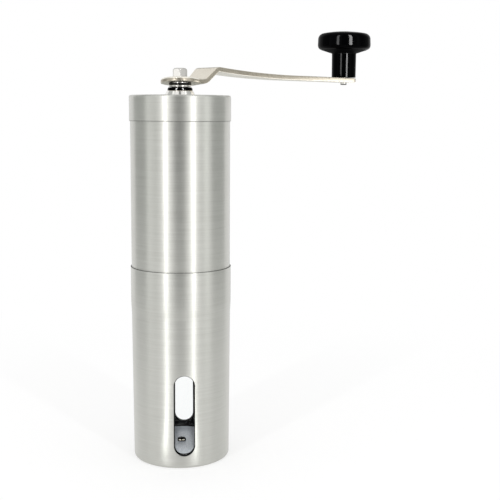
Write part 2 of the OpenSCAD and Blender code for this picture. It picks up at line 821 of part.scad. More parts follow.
// Turned mushroom knob with a blind bore that snaps over the pin
module knob() {
    head_r = knob_d / 2;
    stem_r = stem_d / 2;
    rim_z = knob_z + stem_h + under_h;
    top_z = knob_z + knob_h;
    dome_h = 0.9;
    dome_fall = 0.15;
    crown_turn = 84;
    crown_z = top_z - dome_h - crown_r;
    lip_in = 0.7;
    edge = 0.5;
    bore_r = pin_r + run_gap;
    bulb_gap = 0.3;
    color("#141414")
    at_knob()
    difference() {
        rotate_extrude()
        polygon(concat(
            [[0, knob_z], [stem_r - edge, knob_z], [stem_r, knob_z + edge], [stem_r, knob_z + stem_h],
             [head_r - lip_in - edge, rim_z], [head_r - lip_in, rim_z + edge]],
            arc([head_r - crown_r, crown_z], crown_r, 0, crown_turn),
            [[head_r / 3, top_z - dome_h * dome_fall], [0, top_z]]));
        translate([0, 0, knob_z - over]) cylinder(r = bore_r, h = bulb_z - knob_z + over);
        translate([0, 0, bulb_z - bulb_gap]) cylinder(r = bulb_r + bulb_gap, h = bulb_h + 2 * bulb_gap);
    }
}

// Shouldered pin riveted through the plate; its bulb keeps the knob on
module knob_pin() {
    foot_z = tip_z - rivet_h;
    dome = 0.4;
    color("#c4c3bf")
    at_knob()
    rotate_extrude()
    polygon([[0, foot_z], [rivet_r - dome, foot_z], [rivet_r, foot_z + dome], [rivet_r, tip_top_z],
             [pin_r, tip_top_z], [pin_r, bulb_z], [bulb_r, bulb_z + bulb_h / 4],
             [bulb_r, bulb_z + bulb_h / 2], [pin_r / 2, bulb_z + bulb_h], [0, bulb_z + bulb_h]]);
}

grounds_cup();
cup_liner();
window_sleeve();
hopper_tube();
burr_carrier();
shaft_bush();
outer_burr();
burr_retainer();
lid_cap();
lid_insert();
lid_bush();
drive_shaft();
thrust_washer();
shaft_clip();
spring_top_washer();
burr_spring();
spring_seat_washer();
inner_burr();
burr_core();
adjuster_dial();
dial_nut();
crank_arm();
hub_boss();
hub_o_ring();
knob();
knob_pin();
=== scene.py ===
import json
import math

import bmesh
import bpy
from bpy.props import FloatProperty, FloatVectorProperty, PointerProperty
from mathutils import Matrix, Vector


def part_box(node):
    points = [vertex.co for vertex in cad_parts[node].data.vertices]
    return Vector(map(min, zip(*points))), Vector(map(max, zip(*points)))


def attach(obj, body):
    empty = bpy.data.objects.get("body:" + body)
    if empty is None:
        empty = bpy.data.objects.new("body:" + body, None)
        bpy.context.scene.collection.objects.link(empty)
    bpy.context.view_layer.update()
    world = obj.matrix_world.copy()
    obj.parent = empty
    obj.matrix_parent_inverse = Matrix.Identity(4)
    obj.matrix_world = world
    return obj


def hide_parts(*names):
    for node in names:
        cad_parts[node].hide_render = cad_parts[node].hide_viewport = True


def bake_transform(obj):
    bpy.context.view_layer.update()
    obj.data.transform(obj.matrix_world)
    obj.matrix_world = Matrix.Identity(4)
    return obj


bl_info = {
    "name": "Hand Coffee Grinder",
    "version": (1, 0, 0),
    "blender": (4, 5, 0),
    "location": "View3D > Sidebar > Grinder",
    "description": "Dresses the packed hand grinder: steel, bent crank, knob and studio",
    "category": "Object",
}

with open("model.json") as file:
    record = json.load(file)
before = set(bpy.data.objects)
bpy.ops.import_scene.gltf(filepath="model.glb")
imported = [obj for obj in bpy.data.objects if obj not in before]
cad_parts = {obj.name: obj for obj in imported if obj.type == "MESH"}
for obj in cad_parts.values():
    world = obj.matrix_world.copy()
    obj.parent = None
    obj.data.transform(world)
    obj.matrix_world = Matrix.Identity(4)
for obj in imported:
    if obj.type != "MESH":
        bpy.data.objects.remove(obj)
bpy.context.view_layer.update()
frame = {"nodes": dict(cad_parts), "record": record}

# One millimetre in scene units
MM = 0.001
# Steps of a turned piece and of one as wide as the body, and points on a small rounded edge
TURN_STEPS = 192
BODY_STEPS = 256
EDGE_POINTS = 5
# Angles in degrees below which edges are shaded smooth, on small pieces and on the body
SMOOTH = 32
BODY_SMOOTH = 40
# Points that lie closer than this, in metres, are one point
MERGE = 2e-6
# Edges that turn further than this are broken, on a copied CAD node and on the crank plate
COPY_TURN = math.radians(40)
PLATE_TURN = math.radians(50)


def top(node):
    """Highest point of a CAD node, in millimetres."""
    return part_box(node)[1][2] / MM


def foot(node):
    """Lowest point of a CAD node, in millimetres."""
    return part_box(node)[0][2] / MM


def reach(node):
    """Largest radius of a CAD node that is centred on the axis, in millimetres."""
    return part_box(node)[1][1] / MM


def linear(code):
    """Linear RGBA of an sRGB hex colour."""
    parts = [int(code[i:i + 2], 16) / 255 for i in (1, 3, 5)]
    return [c / 12.92 if c <= 0.04045 else ((c + 0.055) / 1.055) ** 2.4 for c in parts] + [1.0]


def colour(label, note, code):
    """A colour that a user may change, given as sRGB hex."""
    return FloatVectorProperty(name=label, description=note, default=linear(code), size=4,
                               subtype="COLOR", min=0, max=1)


def length(label, note, millimetres):
    """A length that a user may change, given in millimetres."""
    return FloatProperty(name=label, description=note, default=millimetres * MM, unit="LENGTH")


def amount(label, note, value):
    """A tone or strength that a user may change."""
    return FloatProperty(name=label, description=note, default=value, min=0)


class GRINDER_PG_steel(bpy.types.PropertyGroup):
    """Sizes and colours of the steel pieces."""
    light: colour("Steel, light", "Ridges of the brushing", "#cdcdc8")
    dark: colour("Steel, dark", "Furrows of the brushing", "#bebeb8")
    plate: colour("Crank plate", "Satin sheet of the crank", "#e2dccf")
    bright: colour("Turned steel", "Turned and plated small parts", "#d6d4d0")
    brush_pitch: length("Brushing pitch", "Distance between two lines of the brushing", 0.25)
    rim_round: length("Rim rounding", "Rounding of the sheet's cut rims", 0.2)
    plate_round: length("Plate rounding", "Rounding of the crank plate's edges", 0.25)


class GRINDER_PG_plastic(bpy.types.PropertyGroup):
    """Colours of the moulded and fired pieces."""
    gloss_black: colour("Gloss black", "Knob and lid bush", "#010102")
    liner_black: colour("Inner cup black", "Inner cup behind the sight slots", "#0a0a0b")
    nylon_black: colour("Nylon black", "Carrier, dial and insert", "#232325")
    acetal: colour("Acetal", "Shaft bush", "#e6e1d3")
    ceramic: colour("Ceramic", "Burrs", "#ece8de")
    rubber: colour("Rubber", "Ring under the crank", "#0a0a0b")
    clear: colour("Clear plastic", "Window sleeve", "#fdfefe")
    brass: colour("Brass", "Nut in the dial", "#c9a24e")


class GRINDER_PG_stage(bpy.types.PropertyGroup):
    """Camera and light."""
    lens: FloatProperty(name="Lens", description="Focal length on a 36 mm sensor", default=69.17,
                        subtype="DISTANCE_CAMERA")
    strip: amount("Strip lights", "Radiance of the two strip lights", 14.0)
    glint: amount("Glints", "Radiance of the strips on the black pieces", 165.0)
    fill: amount("Fill", "Strength of the soft light from all round", 0.8)
    flag: amount("Front flag", "Tone of the dark card beside the camera", 0.27)
    side: amount("Side cards", "Tone of the grey cards at the sides", 0.54)


class GRINDER_PG_settings(bpy.types.PropertyGroup):
    """All settings of the grinder."""
    steel: PointerProperty(type=GRINDER_PG_steel)
    plastic: PointerProperty(type=GRINDER_PG_plastic)
    stage: PointerProperty(type=GRINDER_PG_stage)


# Modelling helpers

def fresh():
    """Object mode with nothing selected."""
    if bpy.context.object and bpy.context.object.mode != "OBJECT":
        bpy.ops.object.mode_set(mode="OBJECT")
    bpy.ops.object.select_all(action="DESELECT")


def begin(name, shape, mode="VERT", **settings):
    """A new piece from a primitive, in edit mode with all of it selected."""
    fresh()
    getattr(bpy.ops.mesh, f"primitive_{shape}_add")(**settings)
    obj = bpy.context.object
    obj.name = obj.data.name = name
    bpy.ops.object.mode_set(mode="EDIT")
    bpy.ops.mesh.select_mode(type=mode)
    bpy.ops.mesh.select_all(action="SELECT")
    return obj


def edit(obj):
    """Edit mode on one piece, with nothing of it selected."""
    fresh()
    bpy.context.view_layer.objects.active = obj
    obj.select_set(True)
    bpy.ops.object.mode_set(mode="EDIT")
    bpy.ops.mesh.select_all(action="DESELECT")


def pick(obj, kind, test):
    """Selects faces, edges or verts of the piece in edit mode where the test holds."""
    bpy.ops.mesh.select_mode(type={"faces": "FACE", "edges": "EDGE", "verts": "VERT"}[kind])
    mesh = bmesh.from_edit_mesh(obj.data)
    for item in getattr(mesh, kind):
        item.select_set(bool(test(item)))
    mesh.select_flush_mode()
    bmesh.update_edit_mesh(obj.data)


def close_up(obj, angle=SMOOTH):
    """Merges doubles, points the faces outwards and smooths all but the sharp edges."""
    edit(obj)
    bpy.ops.mesh.select_all(action="SELECT")
    bpy.ops.mesh.remove_doubles(threshold=MERGE)
    bpy.ops.mesh.normals_make_consistent(inside=False)
    bpy.ops.object.mode_set(mode="OBJECT")
    bpy.ops.object.shade_smooth_by_angle(angle=math.radians(angle))
    fresh()


def apply_all(obj):
    """Applies every modifier of a piece, in order."""
    fresh()
    bpy.context.view_layer.objects.active = obj
    obj.select_set(True)
    for name in [m.name for m in obj.modifiers]:
        bpy.ops.object.modifier_apply(modifier=name)
    fresh()


def arc(centre, radius, start, end, points=EDGE_POINTS):
    """Points on an arc in the profile plane, angles in degrees."""
    turn = [math.radians(start + (end - start) * i / points) for i in range(points + 1)]
    return [(centre[0] + radius * math.cos(t), centre[1] + radius * math.sin(t)) for t in turn]


def rounded(points, radius):
    """A profile with each inner corner rounded."""
    out = [points[0]]
    for i in range(1, len(points) - 1):
        here, back, ahead = (Vector(points[j]) for j in (i, i - 1, i + 1))
        to_back, to_ahead = back - here, ahead - here
        # A rounding takes less than half of the shorter side
        room = min(to_back.length, to_ahead.length) * 0.45
        if room < 1e-6:
            out.append(points[i])
            continue
        half = to_back.angle(to_ahead) / 2
        cut = min(radius / math.tan(half), room)
        a, b = here + to_back.normalized() * cut, here + to_ahead.normalized() * cut
        for k in range(EDGE_POINTS + 1):
            t = k / EDGE_POINTS
            p = a.lerp(here, t).lerp(here.lerp(b, t), t)
            out.append((p.x, p.y))
    return out + [points[-1]]


def turned(name, profile, steps=TURN_STEPS, closed=False, angle=SMOOTH):
    """A piece turned round the Z axis: a vertex is extruded along the profile and spun."""
    obj = begin(name, "plane", size=MM)
    bpy.ops.mesh.merge(type="CENTER")
    bpy.ops.transform.translate(value=(profile[0][0] * MM, 0, profile[0][1] * MM))
    path = list(profile) + ([profile[0]] if closed else [])
    for (r0, z0), (r1, z1) in zip(path, path[1:]):
        bpy.ops.mesh.extrude_vertices_move(
            TRANSFORM_OT_translate={"value": ((r1 - r0) * MM, 0, (z1 - z0) * MM)})
    bpy.ops.mesh.select_all(action="SELECT")
    bpy.ops.mesh.remove_doubles(threshold=MERGE)
    bpy.ops.mesh.spin(steps=steps, angle=2 * math.pi, center=(0, 0, 0), axis=(0, 0, 1))
    close_up(obj, angle)
    return obj


def shift(obj, x, y):
    """Moves a piece's mesh by millimetres; its object stays at the origin."""
    edit(obj)
    bpy.ops.mesh.select_all(action="SELECT")
    bpy.ops.transform.translate(value=(x * MM, y * MM, 0))
    fresh()


def bevel_weighted(obj, width, segments):
    """Rounds the edges of a piece by a width in millimetres times their bevel weights."""
    soft = obj.modifiers.new("Edge", "BEVEL")
    soft.width = width * MM
    soft.segments = segments
    soft.limit_method = "WEIGHT"
    soft.use_clamp_overlap = False
    apply_all(obj)


def cut_with(obj, cutter):
    """Cuts a closed cutter out of a piece and deletes the cutter."""
    tool = obj.modifiers.new("Cut", "BOOLEAN")
    tool.operation = "DIFFERENCE"
    tool.solver = "EXACT"
    tool.object = cutter
    apply_all(obj)
    cutter.select_set(True)
    bpy.ops.object.delete()


def slot_cutter(near, far, inset=0.0, rise=0.0):
    """Upright bar with round ends along Y, narrower by an inset, its foot higher by a rise."""
    wide = SLOT_W - 2 * inset
    low, high = SLOT_Z + rise + inset, SLOT_Z + SLOT_H - inset
    obj = begin("slot", "cube", size=1)
    bpy.ops.transform.resize(value=(wide * MM, (far - near) * MM, (high - low) * MM))
    bpy.ops.transform.translate(value=(SLOT_X * MM, (near + far) / 2 * MM, (low + high) / 2 * MM))
    pick(obj, "edges", lambda e: abs((e.verts[0].co - e.verts[1].co).y) > 0.01)
    # Just under half the width, so that the corners of one end don't meet
    bpy.ops.mesh.bevel(offset=wide / 2 * MM * 0.9999, segments=24, affect="EDGES")
    close_up(obj)
    return obj


def paint(obj, material):
    """Gives a piece its material."""
    obj.data.materials.clear()
    obj.data.materials.append(material)


def repaint(obj, look, test):
    """Another finish on the faces where a test of radius and height in millimetres holds."""
    obj.data.materials.append(finish_of(look))
    for face in obj.data.polygons:
        x, y, z = face.center / MM
        if test(math.hypot(x, y), z, face):
            face.material_index = len(obj.data.materials) - 1


def settle(obj, body, slot, *nodes, look=None):
    """Paints a piece, lets it ride on its body and stand for its CAD nodes."""
    paint(obj, finish_of(look or slot))
    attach(obj, body)
    if nodes:
        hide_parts(*nodes)


# Sizes that the pieces share, in millimetres, read from the CAD nodes where they can be
SHEET = 0.4
TUBE_R = reach("hopper_tube")
BAND_R = reach("grounds_cup")
CUP_TOP = top("grounds_cup")
SEAT_Z = foot("hopper_tube")
LID_Z = foot("lid_cap")
LID_H = 11.9
BODY_H = LID_Z + LID_H
CONE_TOP = top("lid_cap")
FOOT_R = 1.6
CUP_R = TUBE_R + 0.15
BASE_R = CUP_R - 0.5
SLOT_W = 10.0
SLOT_H = 39.0
SLOT_Z = 6.1
SLOT_X = 1.3
SLOT_INSET = 0.45
REAR_RISE = 2.9
CUT_REACH = 40
LINER_FLOOR = 6.3
PLATE_Z = top("hub_o_ring") + 0.05
PLATE_T = 2.2
HUB_R = 9.1
ARM_W = 16.0
TIP_W = 13.4
CRANK_LEN = 117.5
CRANK_ANGLE = math.radians(40)
HUB_TILT = math.radians(6.3)
HUB_DROP = 0.5
HUB_ROLL = 1.3
ROLL_END = HUB_R * math.sin(math.radians(60))
SHAFT_HOLE_R = 4.46
RIVET_HOLE_R = 1.85
WIRE_D = 1.2
SPRING_R = reach("burr_spring") - WIRE_D / 2
KNOB_Z = foot("knob")
KNOB_X = CRANK_LEN * math.cos(CRANK_ANGLE)
KNOB_Y = CRANK_LEN * math.sin(CRANK_ANGLE)

# Sizes of the studio, in metres: distance and height of what stands round the object, heights
# of cards, front flag and glint lamps, and side of the floor
STAND_FAR = 0.75
STAND_Z = 0.1
CARD_TALL = 2.4
FLAG_TALL = 4.4
GLINT_TALL = 2.0
FLOOR_SIDE = 0.8

# CAD nodes that get soft edges, the name of each copy, and in millimetres the width of its
# edges and of the long ones above the lid, which are rounded first
SOFT_EDGES = (
    ("drive_shaft", "shaft_with_five_sides", 0.15, 0.45),
    ("hub_boss", "flanged_boss", 0.15, 0),
    ("adjuster_dial", "grip_dial", 0.3, 0),
    ("dial_nut", "brass_nut", 0.12, 0),
    ("burr_core", "burr_driver", 0.2, 0),
    ("burr_carrier", "spoked_carrier", 0.25, 0),
    ("burr_retainer", "retainer_ring", 0.2, 0),
    ("lid_insert", "lid_collar", 0.25, 0),
    ("shaft_bush", "acetal_bush", 0.15, 0),
)


# Material helpers

def put(tree, kind, wires=None, values=None, **settings):
    """Adds a node with its settings, input values and incoming links."""
    node = tree.nodes.new(kind)
    for key, value in settings.items():
        setattr(node, key, value)
    for key, value in (values or {}).items():
        node.inputs[key].default_value = value
    for key, socket in (wires or {}).items():
        tree.links.new(socket, node.inputs[key])
    return node


def start(name):
    """A new material with an empty tree and Object coordinates."""
    material = bpy.data.materials.new(name)
    material.use_nodes = True
    tree = material.node_tree
    tree.nodes.clear()
    return material, tree, put(tree, "ShaderNodeTexCoord").outputs["Object"]


def finish(tree, shader):
    """Links a shader to the material's output."""
    put(tree, "ShaderNodeOutputMaterial", {"Surface": shader.outputs[0]})


def spread(tree, socket, low, high, a=0.3, b=0.7):
    """A pattern's value between a and b, mapped to low and high."""
    node = put(tree, "ShaderNodeMapRange", {"Value": socket},
               {"From Min": a, "From Max": b, "To Min": low, "To Max": high})
    return node.outputs[0]


def around(tree, coords):
    """Direction round the Z axis, for brushing that runs round the body."""
    cross = put(tree, "ShaderNodeVectorMath", {1: coords}, {0: (0, 0, 1)},
                operation="CROSS_PRODUCT")
    level = put(tree, "ShaderNodeVectorMath", {0: cross.outputs[0]}, operation="NORMALIZE")
    return level.outputs[0]


def noise(tree, coords, size, detail=2.0, rough=0.5, stretch=(1, 1, 1)):
    """Noise whose features are a size in metres, stretched along the axes."""
    at = put(tree, "ShaderNodeMapping", {"Vector": coords},
             {"Scale": [k / size for k in stretch]})
    return put(tree, "ShaderNodeTexNoise", {"Vector": at.outputs[0]},
               {"Scale": 1.0, "Detail": detail, "Roughness": rough}).outputs[0]


def blend_colours(tree, factor, a, b):
    """Mix of two colours by a pattern."""
    node = put(tree, "ShaderNodeMix", {0: factor}, {6: a, 7: b}, data_type="RGBA")
    return node.outputs[2]


def bumped(tree, height, depth, strength=1.0):
    """Normal from a height pattern of a depth in metres."""
    return put(tree, "ShaderNodeBump", {"Height": height},
               {"Strength": strength, "Distance": depth}).outputs[0]


def brushed_stainless(s):
    """Stainless sheet brushed on a belt while it turned: fine level lines that blur its
    reflections up and down, so lamps show as long soft upright stripes."""
    material, tree, coords = start("Brushed stainless sheet")
    pitch = s.steel.brush_pitch
    lines = noise(tree, coords, pitch, 3, 0.6, (0.02, 0.02, 1))
    # Lines this fine are half a pixel in the render, so a coarser set is laid over them
    coarse = noise(tree, coords, pitch * 3, 2, 0.5, (0.02, 0.02, 1))
    smear = noise(tree, coords, 0.035, 2, 0.5)
    half = put(tree, "ShaderNodeMix", {2: lines, 3: coarse}, {0: 0.45},
               data_type="FLOAT").outputs[0]
    tone = blend_colours(tree, spread(tree, half, 0, 1), s.steel.dark, s.steel.light)
    rough = put(tree, "ShaderNodeMath",
                {0: spread(tree, half, 0.29, 0.45), 1: spread(tree, smear, -0.02, 0.03)},
                operation="ADD")
    shader = put(tree, "ShaderNodeBsdfPrincipled",
                 {"Base Color": tone, "Roughness": rough.outputs[0],
                  "Tangent": around(tree, coords), "Normal": bumped(tree, lines, 0.000004)},
                 {"Metallic": 1.0, "Anisotropic": 0.8, "Anisotropic Rotation": 0.25})
    finish(tree, shader)
    return material


def metal(name, size, deep, pale, rough, stretch=(1, 1, 1), grain=(2, 0.5), depth=0):
    """A metal with one pattern, which sets its colour, roughness and relief."""
    material, tree, coords = start(name)
    pattern = noise(tree, coords, size, *grain, stretch)
    wires = {"Base Color": blend_colours(tree, spread(tree, pattern, 0, 1), deep, pale),
             "Roughness": spread(tree, pattern, *rough)}
    if depth:
        wires["Normal"] = bumped(tree, pattern, depth)
    finish(tree, put(tree, "ShaderNodeBsdfPrincipled", wires, {"Metallic": 1.0}))
    return material


def buffed_stainless_painted_bright(s):
    """The drawn cone of the lid, buffed after forming: sharper reflections, and a paler tone than
    the sheet that paints them brighter.
    """
    return metal("Buffed stainless", 0.0002, linear("#e6e4e0"), linear("#f2f0ec"),
                 (0.1, 0.16), (0.03, 0.03, 1))


def plate_finish(name, deep, pale):
    """Blanked steel sheet, tumbled: warm, slightly cloudy and finely grained."""
    material, tree, coords = start(name)
    grain = noise(tree, coords, 0.0004, 3, 0.6)
    cloud = noise(tree, coords, 0.012, 2, 0.5)
    tone = blend_colours(tree, spread(tree, cloud, 0, 1), deep, pale)
    rough = put(tree, "ShaderNodeMath",
                {0: spread(tree, grain, 0.24, 0.34), 1: spread(tree, cloud, -0.02, 0.03)},
                operation="ADD")
    shader = put(tree, "ShaderNodeBsdfPrincipled",
                 {"Base Color": tone, "Roughness": rough.outputs[0],
                  "Normal": bumped(tree, grain, 0.000012)},
                 {"Metallic": 1.0})
    finish(tree, shader)
    return material


def satin_plate(s):
    """Upper face of the crank's arm, scuffed by tumbling."""
    return plate_finish("Tumbled steel plate", linear("#d9d2c4"), s.steel.plate)


def plate_painted_light(s):
    """Lower face and hub of the crank plate, painted paler than the arm: painted light, for the
    light these faces catch.
    """
    return plate_finish("Bright steel plate", linear("#f2ece0"), linear("#faf6ec"))


def edge_with_painted_shade(s):
    """The plate's blanked edge, with the tool's upright drag lines; its colour, browner and darker
    than the faces, is painted shade.
    """
    return metal("Sheared plate edge", 0.0004, linear("#a79f91"), linear("#b6afa1"),
                 (0.28, 0.36), (1, 1, 0.15), depth=0.000004)


def rim_painted_shade(s):
    """Cut rim of the sheet and the pin's peened end: dull, and painted dark as painted shade of
    the seams and under the crank.
    """
    return metal("Cut sheet rim", 0.0008, linear("#6b6a68"), linear("#807f7c"), (0.45, 0.55))


def turned_steel(s):
    """Turned and nickel-plated steel: bright, with faint tool rings along its length."""
    return metal("Turned plated steel", 0.00035, linear("#c8c6c2"), s.steel.bright,
                 (0.14, 0.24), (0.05, 0.05, 1), depth=0.000008)


def spring_wire(s):
    """Drawn spring wire: greyer, with die lines and a thin film of oil."""
    return metal("Drawn spring wire", 0.0006, linear("#8f8e8b"), linear("#b3b1ad"),
                 (0.22, 0.34), grain=(3, 0.6))


def turned_brass(s):
    """Bar-turned brass: yellow, softly dulled, with tool rings."""
    return metal("Turned brass", 0.0003, linear("#a9853c"), s.plastic.brass,
                 (0.22, 0.34), (0.05, 0.05, 1))


def moulding(name, deep, pale, rough, grain_size, grain_depth, specular):
    """A moulded plastic: even colour, slight cloudiness, and the grain its tool left."""
    material, tree, coords = start(name)
    grain = noise(tree, coords, grain_size, 3, 0.55)
    cloud = noise(tree, coords, 0.009, 2, 0.5)
    tone = blend_colours(tree, spread(tree, cloud, 0, 1), deep, pale)
    shader = put(tree, "ShaderNodeBsdfPrincipled",
                 {"Base Color": tone, "Roughness": spread(tree, grain, rough[0], rough[1]),
                  "Normal": bumped(tree, grain, grain_depth)},
                 {"Specular IOR Level": specular})
    finish(tree, shader)
    return material


def gloss_black(s):
    """Polished black phenolic: near black, with sharp narrow highlights and a slight ripple."""
    return moulding("Gloss black moulding", s.plastic.gloss_black, linear("#030304"),
                    (0.06, 0.09), 0.004, 0.0000005, 0.02)


def matt_black(s):
    """The same moulding where it isn't polished, under the knob's head: dead black."""
    return moulding("Unpolished black moulding", s.plastic.gloss_black, linear("#030304"),
                    (0.5, 0.6), 0.0006, 0.00001, 0.02)


def liner_plastic(s):
    """Glossy black polystyrene of the inner cup: dark walls that mirror the light of the slots."""
    return moulding("Black inner cup moulding", s.plastic.liner_black, linear("#101011"),
                    (0.2, 0.28), 0.003, 0.00001, 0.12)


def floor_with_painted_light(s):
    """The same plastic on the cup's floor, rougher and finely grained, and painted pale grey:
    painted light from the slots.
    """
    return moulding("Frosted inner cup floor", linear("#c3c9d0"), linear("#cdd3da"),
                    (0.22, 0.32), 0.0005, 0.000012, 0.5)


def black_nylon(s):
    """Glass-filled nylon: charcoal, satin, with a fine mould grain."""
    return moulding("Black nylon moulding", s.plastic.nylon_black, linear("#2c2c2e"),
                    (0.42, 0.55), 0.0006, 0.00002, 0.4)


def acetal_plastic(s):
    """Turned acetal: waxy off-white with a low sheen."""
    return moulding("Turned acetal", s.plastic.acetal, linear("#d9d3c2"),
                    (0.35, 0.45), 0.0007, 0.00001, 0.5)


def fired_ceramic(s):
    """Pressed and fired alumina: matt off-white, finely gritty, with a few darker specks."""
    material, tree, coords = start("Fired alumina ceramic")
    grit = noise(tree, coords, 0.0005, 4, 0.65)
    speck = noise(tree, coords, 0.0016, 1, 0.5)
    base = blend_colours(tree, spread(tree, grit, 0, 1), linear("#dcd7ca"), s.plastic.ceramic)
    tone = put(tree, "ShaderNodeMix", {0: spread(tree, speck, 0, 0.35, 0.68, 0.8), 6: base},
               {7: linear("#b5ad9c")}, data_type="RGBA").outputs[2]
    shader = put(tree, "ShaderNodeBsdfPrincipled",
                 {"Base Color": tone, "Roughness": spread(tree, grit, 0.45, 0.62),
                  "Normal": bumped(tree, grit, 0.00003)},
                 {"Specular IOR Level": 0.5})
    finish(tree, shader)
    return material


def soft_rubber(s):
    """Moulded nitrile rubber: black, dull, with a faint bloom."""
    return moulding("Moulded rubber", s.plastic.rubber, linear("#111112"),
                    (0.38, 0.52), 0.0005, 0.00001, 0.2)


def clear_plastic(s):
    """Thin extruded acetate: colourless, with soft waves that bend what is behind it a little."""
    material, tree, coords = start("Clear acetate sheet")
    wave = noise(tree, coords, 0.012, 1, 0.5)
    shader = put(tree, "ShaderNodeBsdfPrincipled",
                 {"Roughness": spread(tree, wave, 0.01, 0.03)},
                 {"Base Color": s.plastic.clear, "Transmission Weight": 1.0, "IOR": 1.12})
    finish(tree, shader)
    return material


MAKERS = {
    "brushed_steel": brushed_stainless, "polished": buffed_stainless_painted_bright,
    "satin_steel": satin_plate, "plate_painted_light": plate_painted_light, "sheared": edge_with_painted_shade,
    "rim_painted_shade": rim_painted_shade, "bright_steel": turned_steel, "spring_steel": spring_wire,
    "brass": turned_brass, "black_gloss": gloss_black, "matt_black": matt_black,
    "black_moulding": liner_plastic, "frosted": floor_with_painted_light, "black_nylon": black_nylon,
    "acetal": acetal_plastic, "ceramic": fired_ceramic, "rubber": soft_rubber,
    "clear_plastic": clear_plastic,
}
MADE = {}


def finish_of(slot):
    """The material of a slot, made once."""
    if slot not in MADE:
        MADE[slot] = MAKERS[slot](bpy.context.scene.grinder)
    return MADE[slot]


# Operators, one for each piece or group of like pieces

class GRINDER_OT_cup(bpy.types.Operator):
    """Drawn steel cup with its two sight slots"""
    bl_idname = "grinder.cup"
    bl_label = "Steel cup"

    def execute(self, context):
        rim = context.scene.grinder.steel.rim_round / MM
        step = SEAT_Z - SHEET
        in_r, band_in = CUP_R - SHEET, BAND_R - SHEET
        band = (BAND_R, (step + CUP_TOP) / 2)
        # The sheet widens to the band over a few millimetres, as the roller leaves it
        below, above, roll = 2.8, 1.8, 40
        swell = rounded([(CUP_R, FOOT_R), (CUP_R, step - below), (BAND_R, step + above), band],
                        roll)
        wall = rounded([band, (BAND_R, CUP_TOP), (band_in, CUP_TOP), (band_in, SEAT_Z),
                        (in_r, SEAT_Z), (in_r, FOOT_R)], rim)
        corner = (BASE_R - FOOT_R, FOOT_R)
        profile = ([(0, 0)] + arc(corner, FOOT_R, -90, 0, 10) + swell[1:-1] + wall[1:-1]
                   + arc(corner, FOOT_R - SHEET, 0, -90, 6) + [(0, SHEET)])
        cup = turned("steel_cup", profile, BODY_STEPS, angle=BODY_SMOOTH)
        cut_with(cup, slot_cutter(-CUT_REACH, CUT_REACH))
        close_up(cup, BODY_SMOOTH)
        settle(cup, "cup", "brushed_steel", "grounds_cup")
        # Painted shade: the cup's rim is darkened as the shadow line of its seam with the tube
        repaint(cup, "rim_painted_shade", lambda r, z, face: z > CUP_TOP - rim)
        return {"FINISHED"}


class GRINDER_OT_liner(bpy.types.Operator):
    """Dark inner cup with its own slots, and the clear sleeve round it"""
    bl_idname = "grinder.liner"
    bl_label = "Inner cup and window"

    def execute(self, context):
        low, high = foot("cup_liner"), top("cup_liner")
        s_low, s_high = foot("window_sleeve"), top("window_sleeve")
        slope = (CUP_R - BASE_R) / SEAT_Z
        wall, gap, sleeve, ledge = 1.2, 0.1, 0.5, 0.8
        fillet, floor_t = 1.5, 1.8

        def sleeve_r(z):
            """Outer radius of the clear sleeve at a height."""
            return BASE_R + slope * z - SHEET - gap

        def liner_r(z):
            """Outer radius of the inner cup at a height."""
            return sleeve_r(z) - sleeve - gap

        ring = BASE_R - FOOT_R - gap
        ledge_low = s_low - ledge
        corner = liner_r(LINER_FLOOR) - wall - fillet
        outer = rounded([(ring - wall, LINER_FLOOR - floor_t), (ring - wall, low), (ring, low),
                         (sleeve_r(ledge_low), ledge_low), (sleeve_r(s_low), s_low),
                         (liner_r(s_low), s_low), (liner_r(high), high),
                         (liner_r(high) - wall, high),
                         (corner + fillet, LINER_FLOOR + fillet)], 0.12)
        profile = ([(0, LINER_FLOOR - floor_t)] + outer[:-1]
                   + arc((corner, LINER_FLOOR + fillet), fillet, 0, -90, 8) + [(0, LINER_FLOOR)])
        liner = turned("inner_cup", profile, BODY_STEPS, angle=BODY_SMOOTH)
        cut_with(liner, slot_cutter(-CUT_REACH, 0, SLOT_INSET))
        cut_with(liner, slot_cutter(0, CUT_REACH, SLOT_INSET, REAR_RISE))
        close_up(liner, BODY_SMOOTH)
        settle(liner, "cup", "black_moulding", "cup_liner")
        # Painted light: the floor and the foot of its fillet take a pale copy of the black
        # moulding
        repaint(liner, "frosted",
                lambda r, z, face: r < corner + 0.6 * fillet and abs(z - LINER_FLOOR) < fillet / 2)
        nub_r, nub_round = 2.1, 0.9
        nub_foot, nub_side = LINER_FLOOR - 0.2, LINER_FLOOR + 0.5
        nub = turned("gate_nub", [(0, nub_foot), (nub_r, nub_foot), (nub_r, nub_side)]
                     + arc((nub_r - nub_round, nub_side), nub_round, 0, 90, 8)[1:]
                     + [(0, nub_side + nub_round)], 48, angle=BODY_SMOOTH)
        settle(nub, "cup", "black_moulding", look="black_gloss")
        # Two pale spots on the front of the nub: painted highlights of two lamps
        repaint(nub, "acetal", lambda r, z, face: nub_side < z < nub_side + 0.55
                and face.center.y < 0 and 0.3 < abs(face.center.x) / MM < 1.5)
        middle = (sleeve_r(s_low) - sleeve / 2, s_low)
        pane = turned("clear_sleeve", rounded(
            [middle, (sleeve_r(s_low), s_low), (sleeve_r(s_high), s_high),
             (sleeve_r(s_high) - sleeve, s_high), (sleeve_r(s_low) - sleeve, s_low), middle],
            0.08))
        settle(pane, "cup", "clear_plastic", "window_sleeve")
        pane.visible_shadow = False
        return {"FINISHED"}


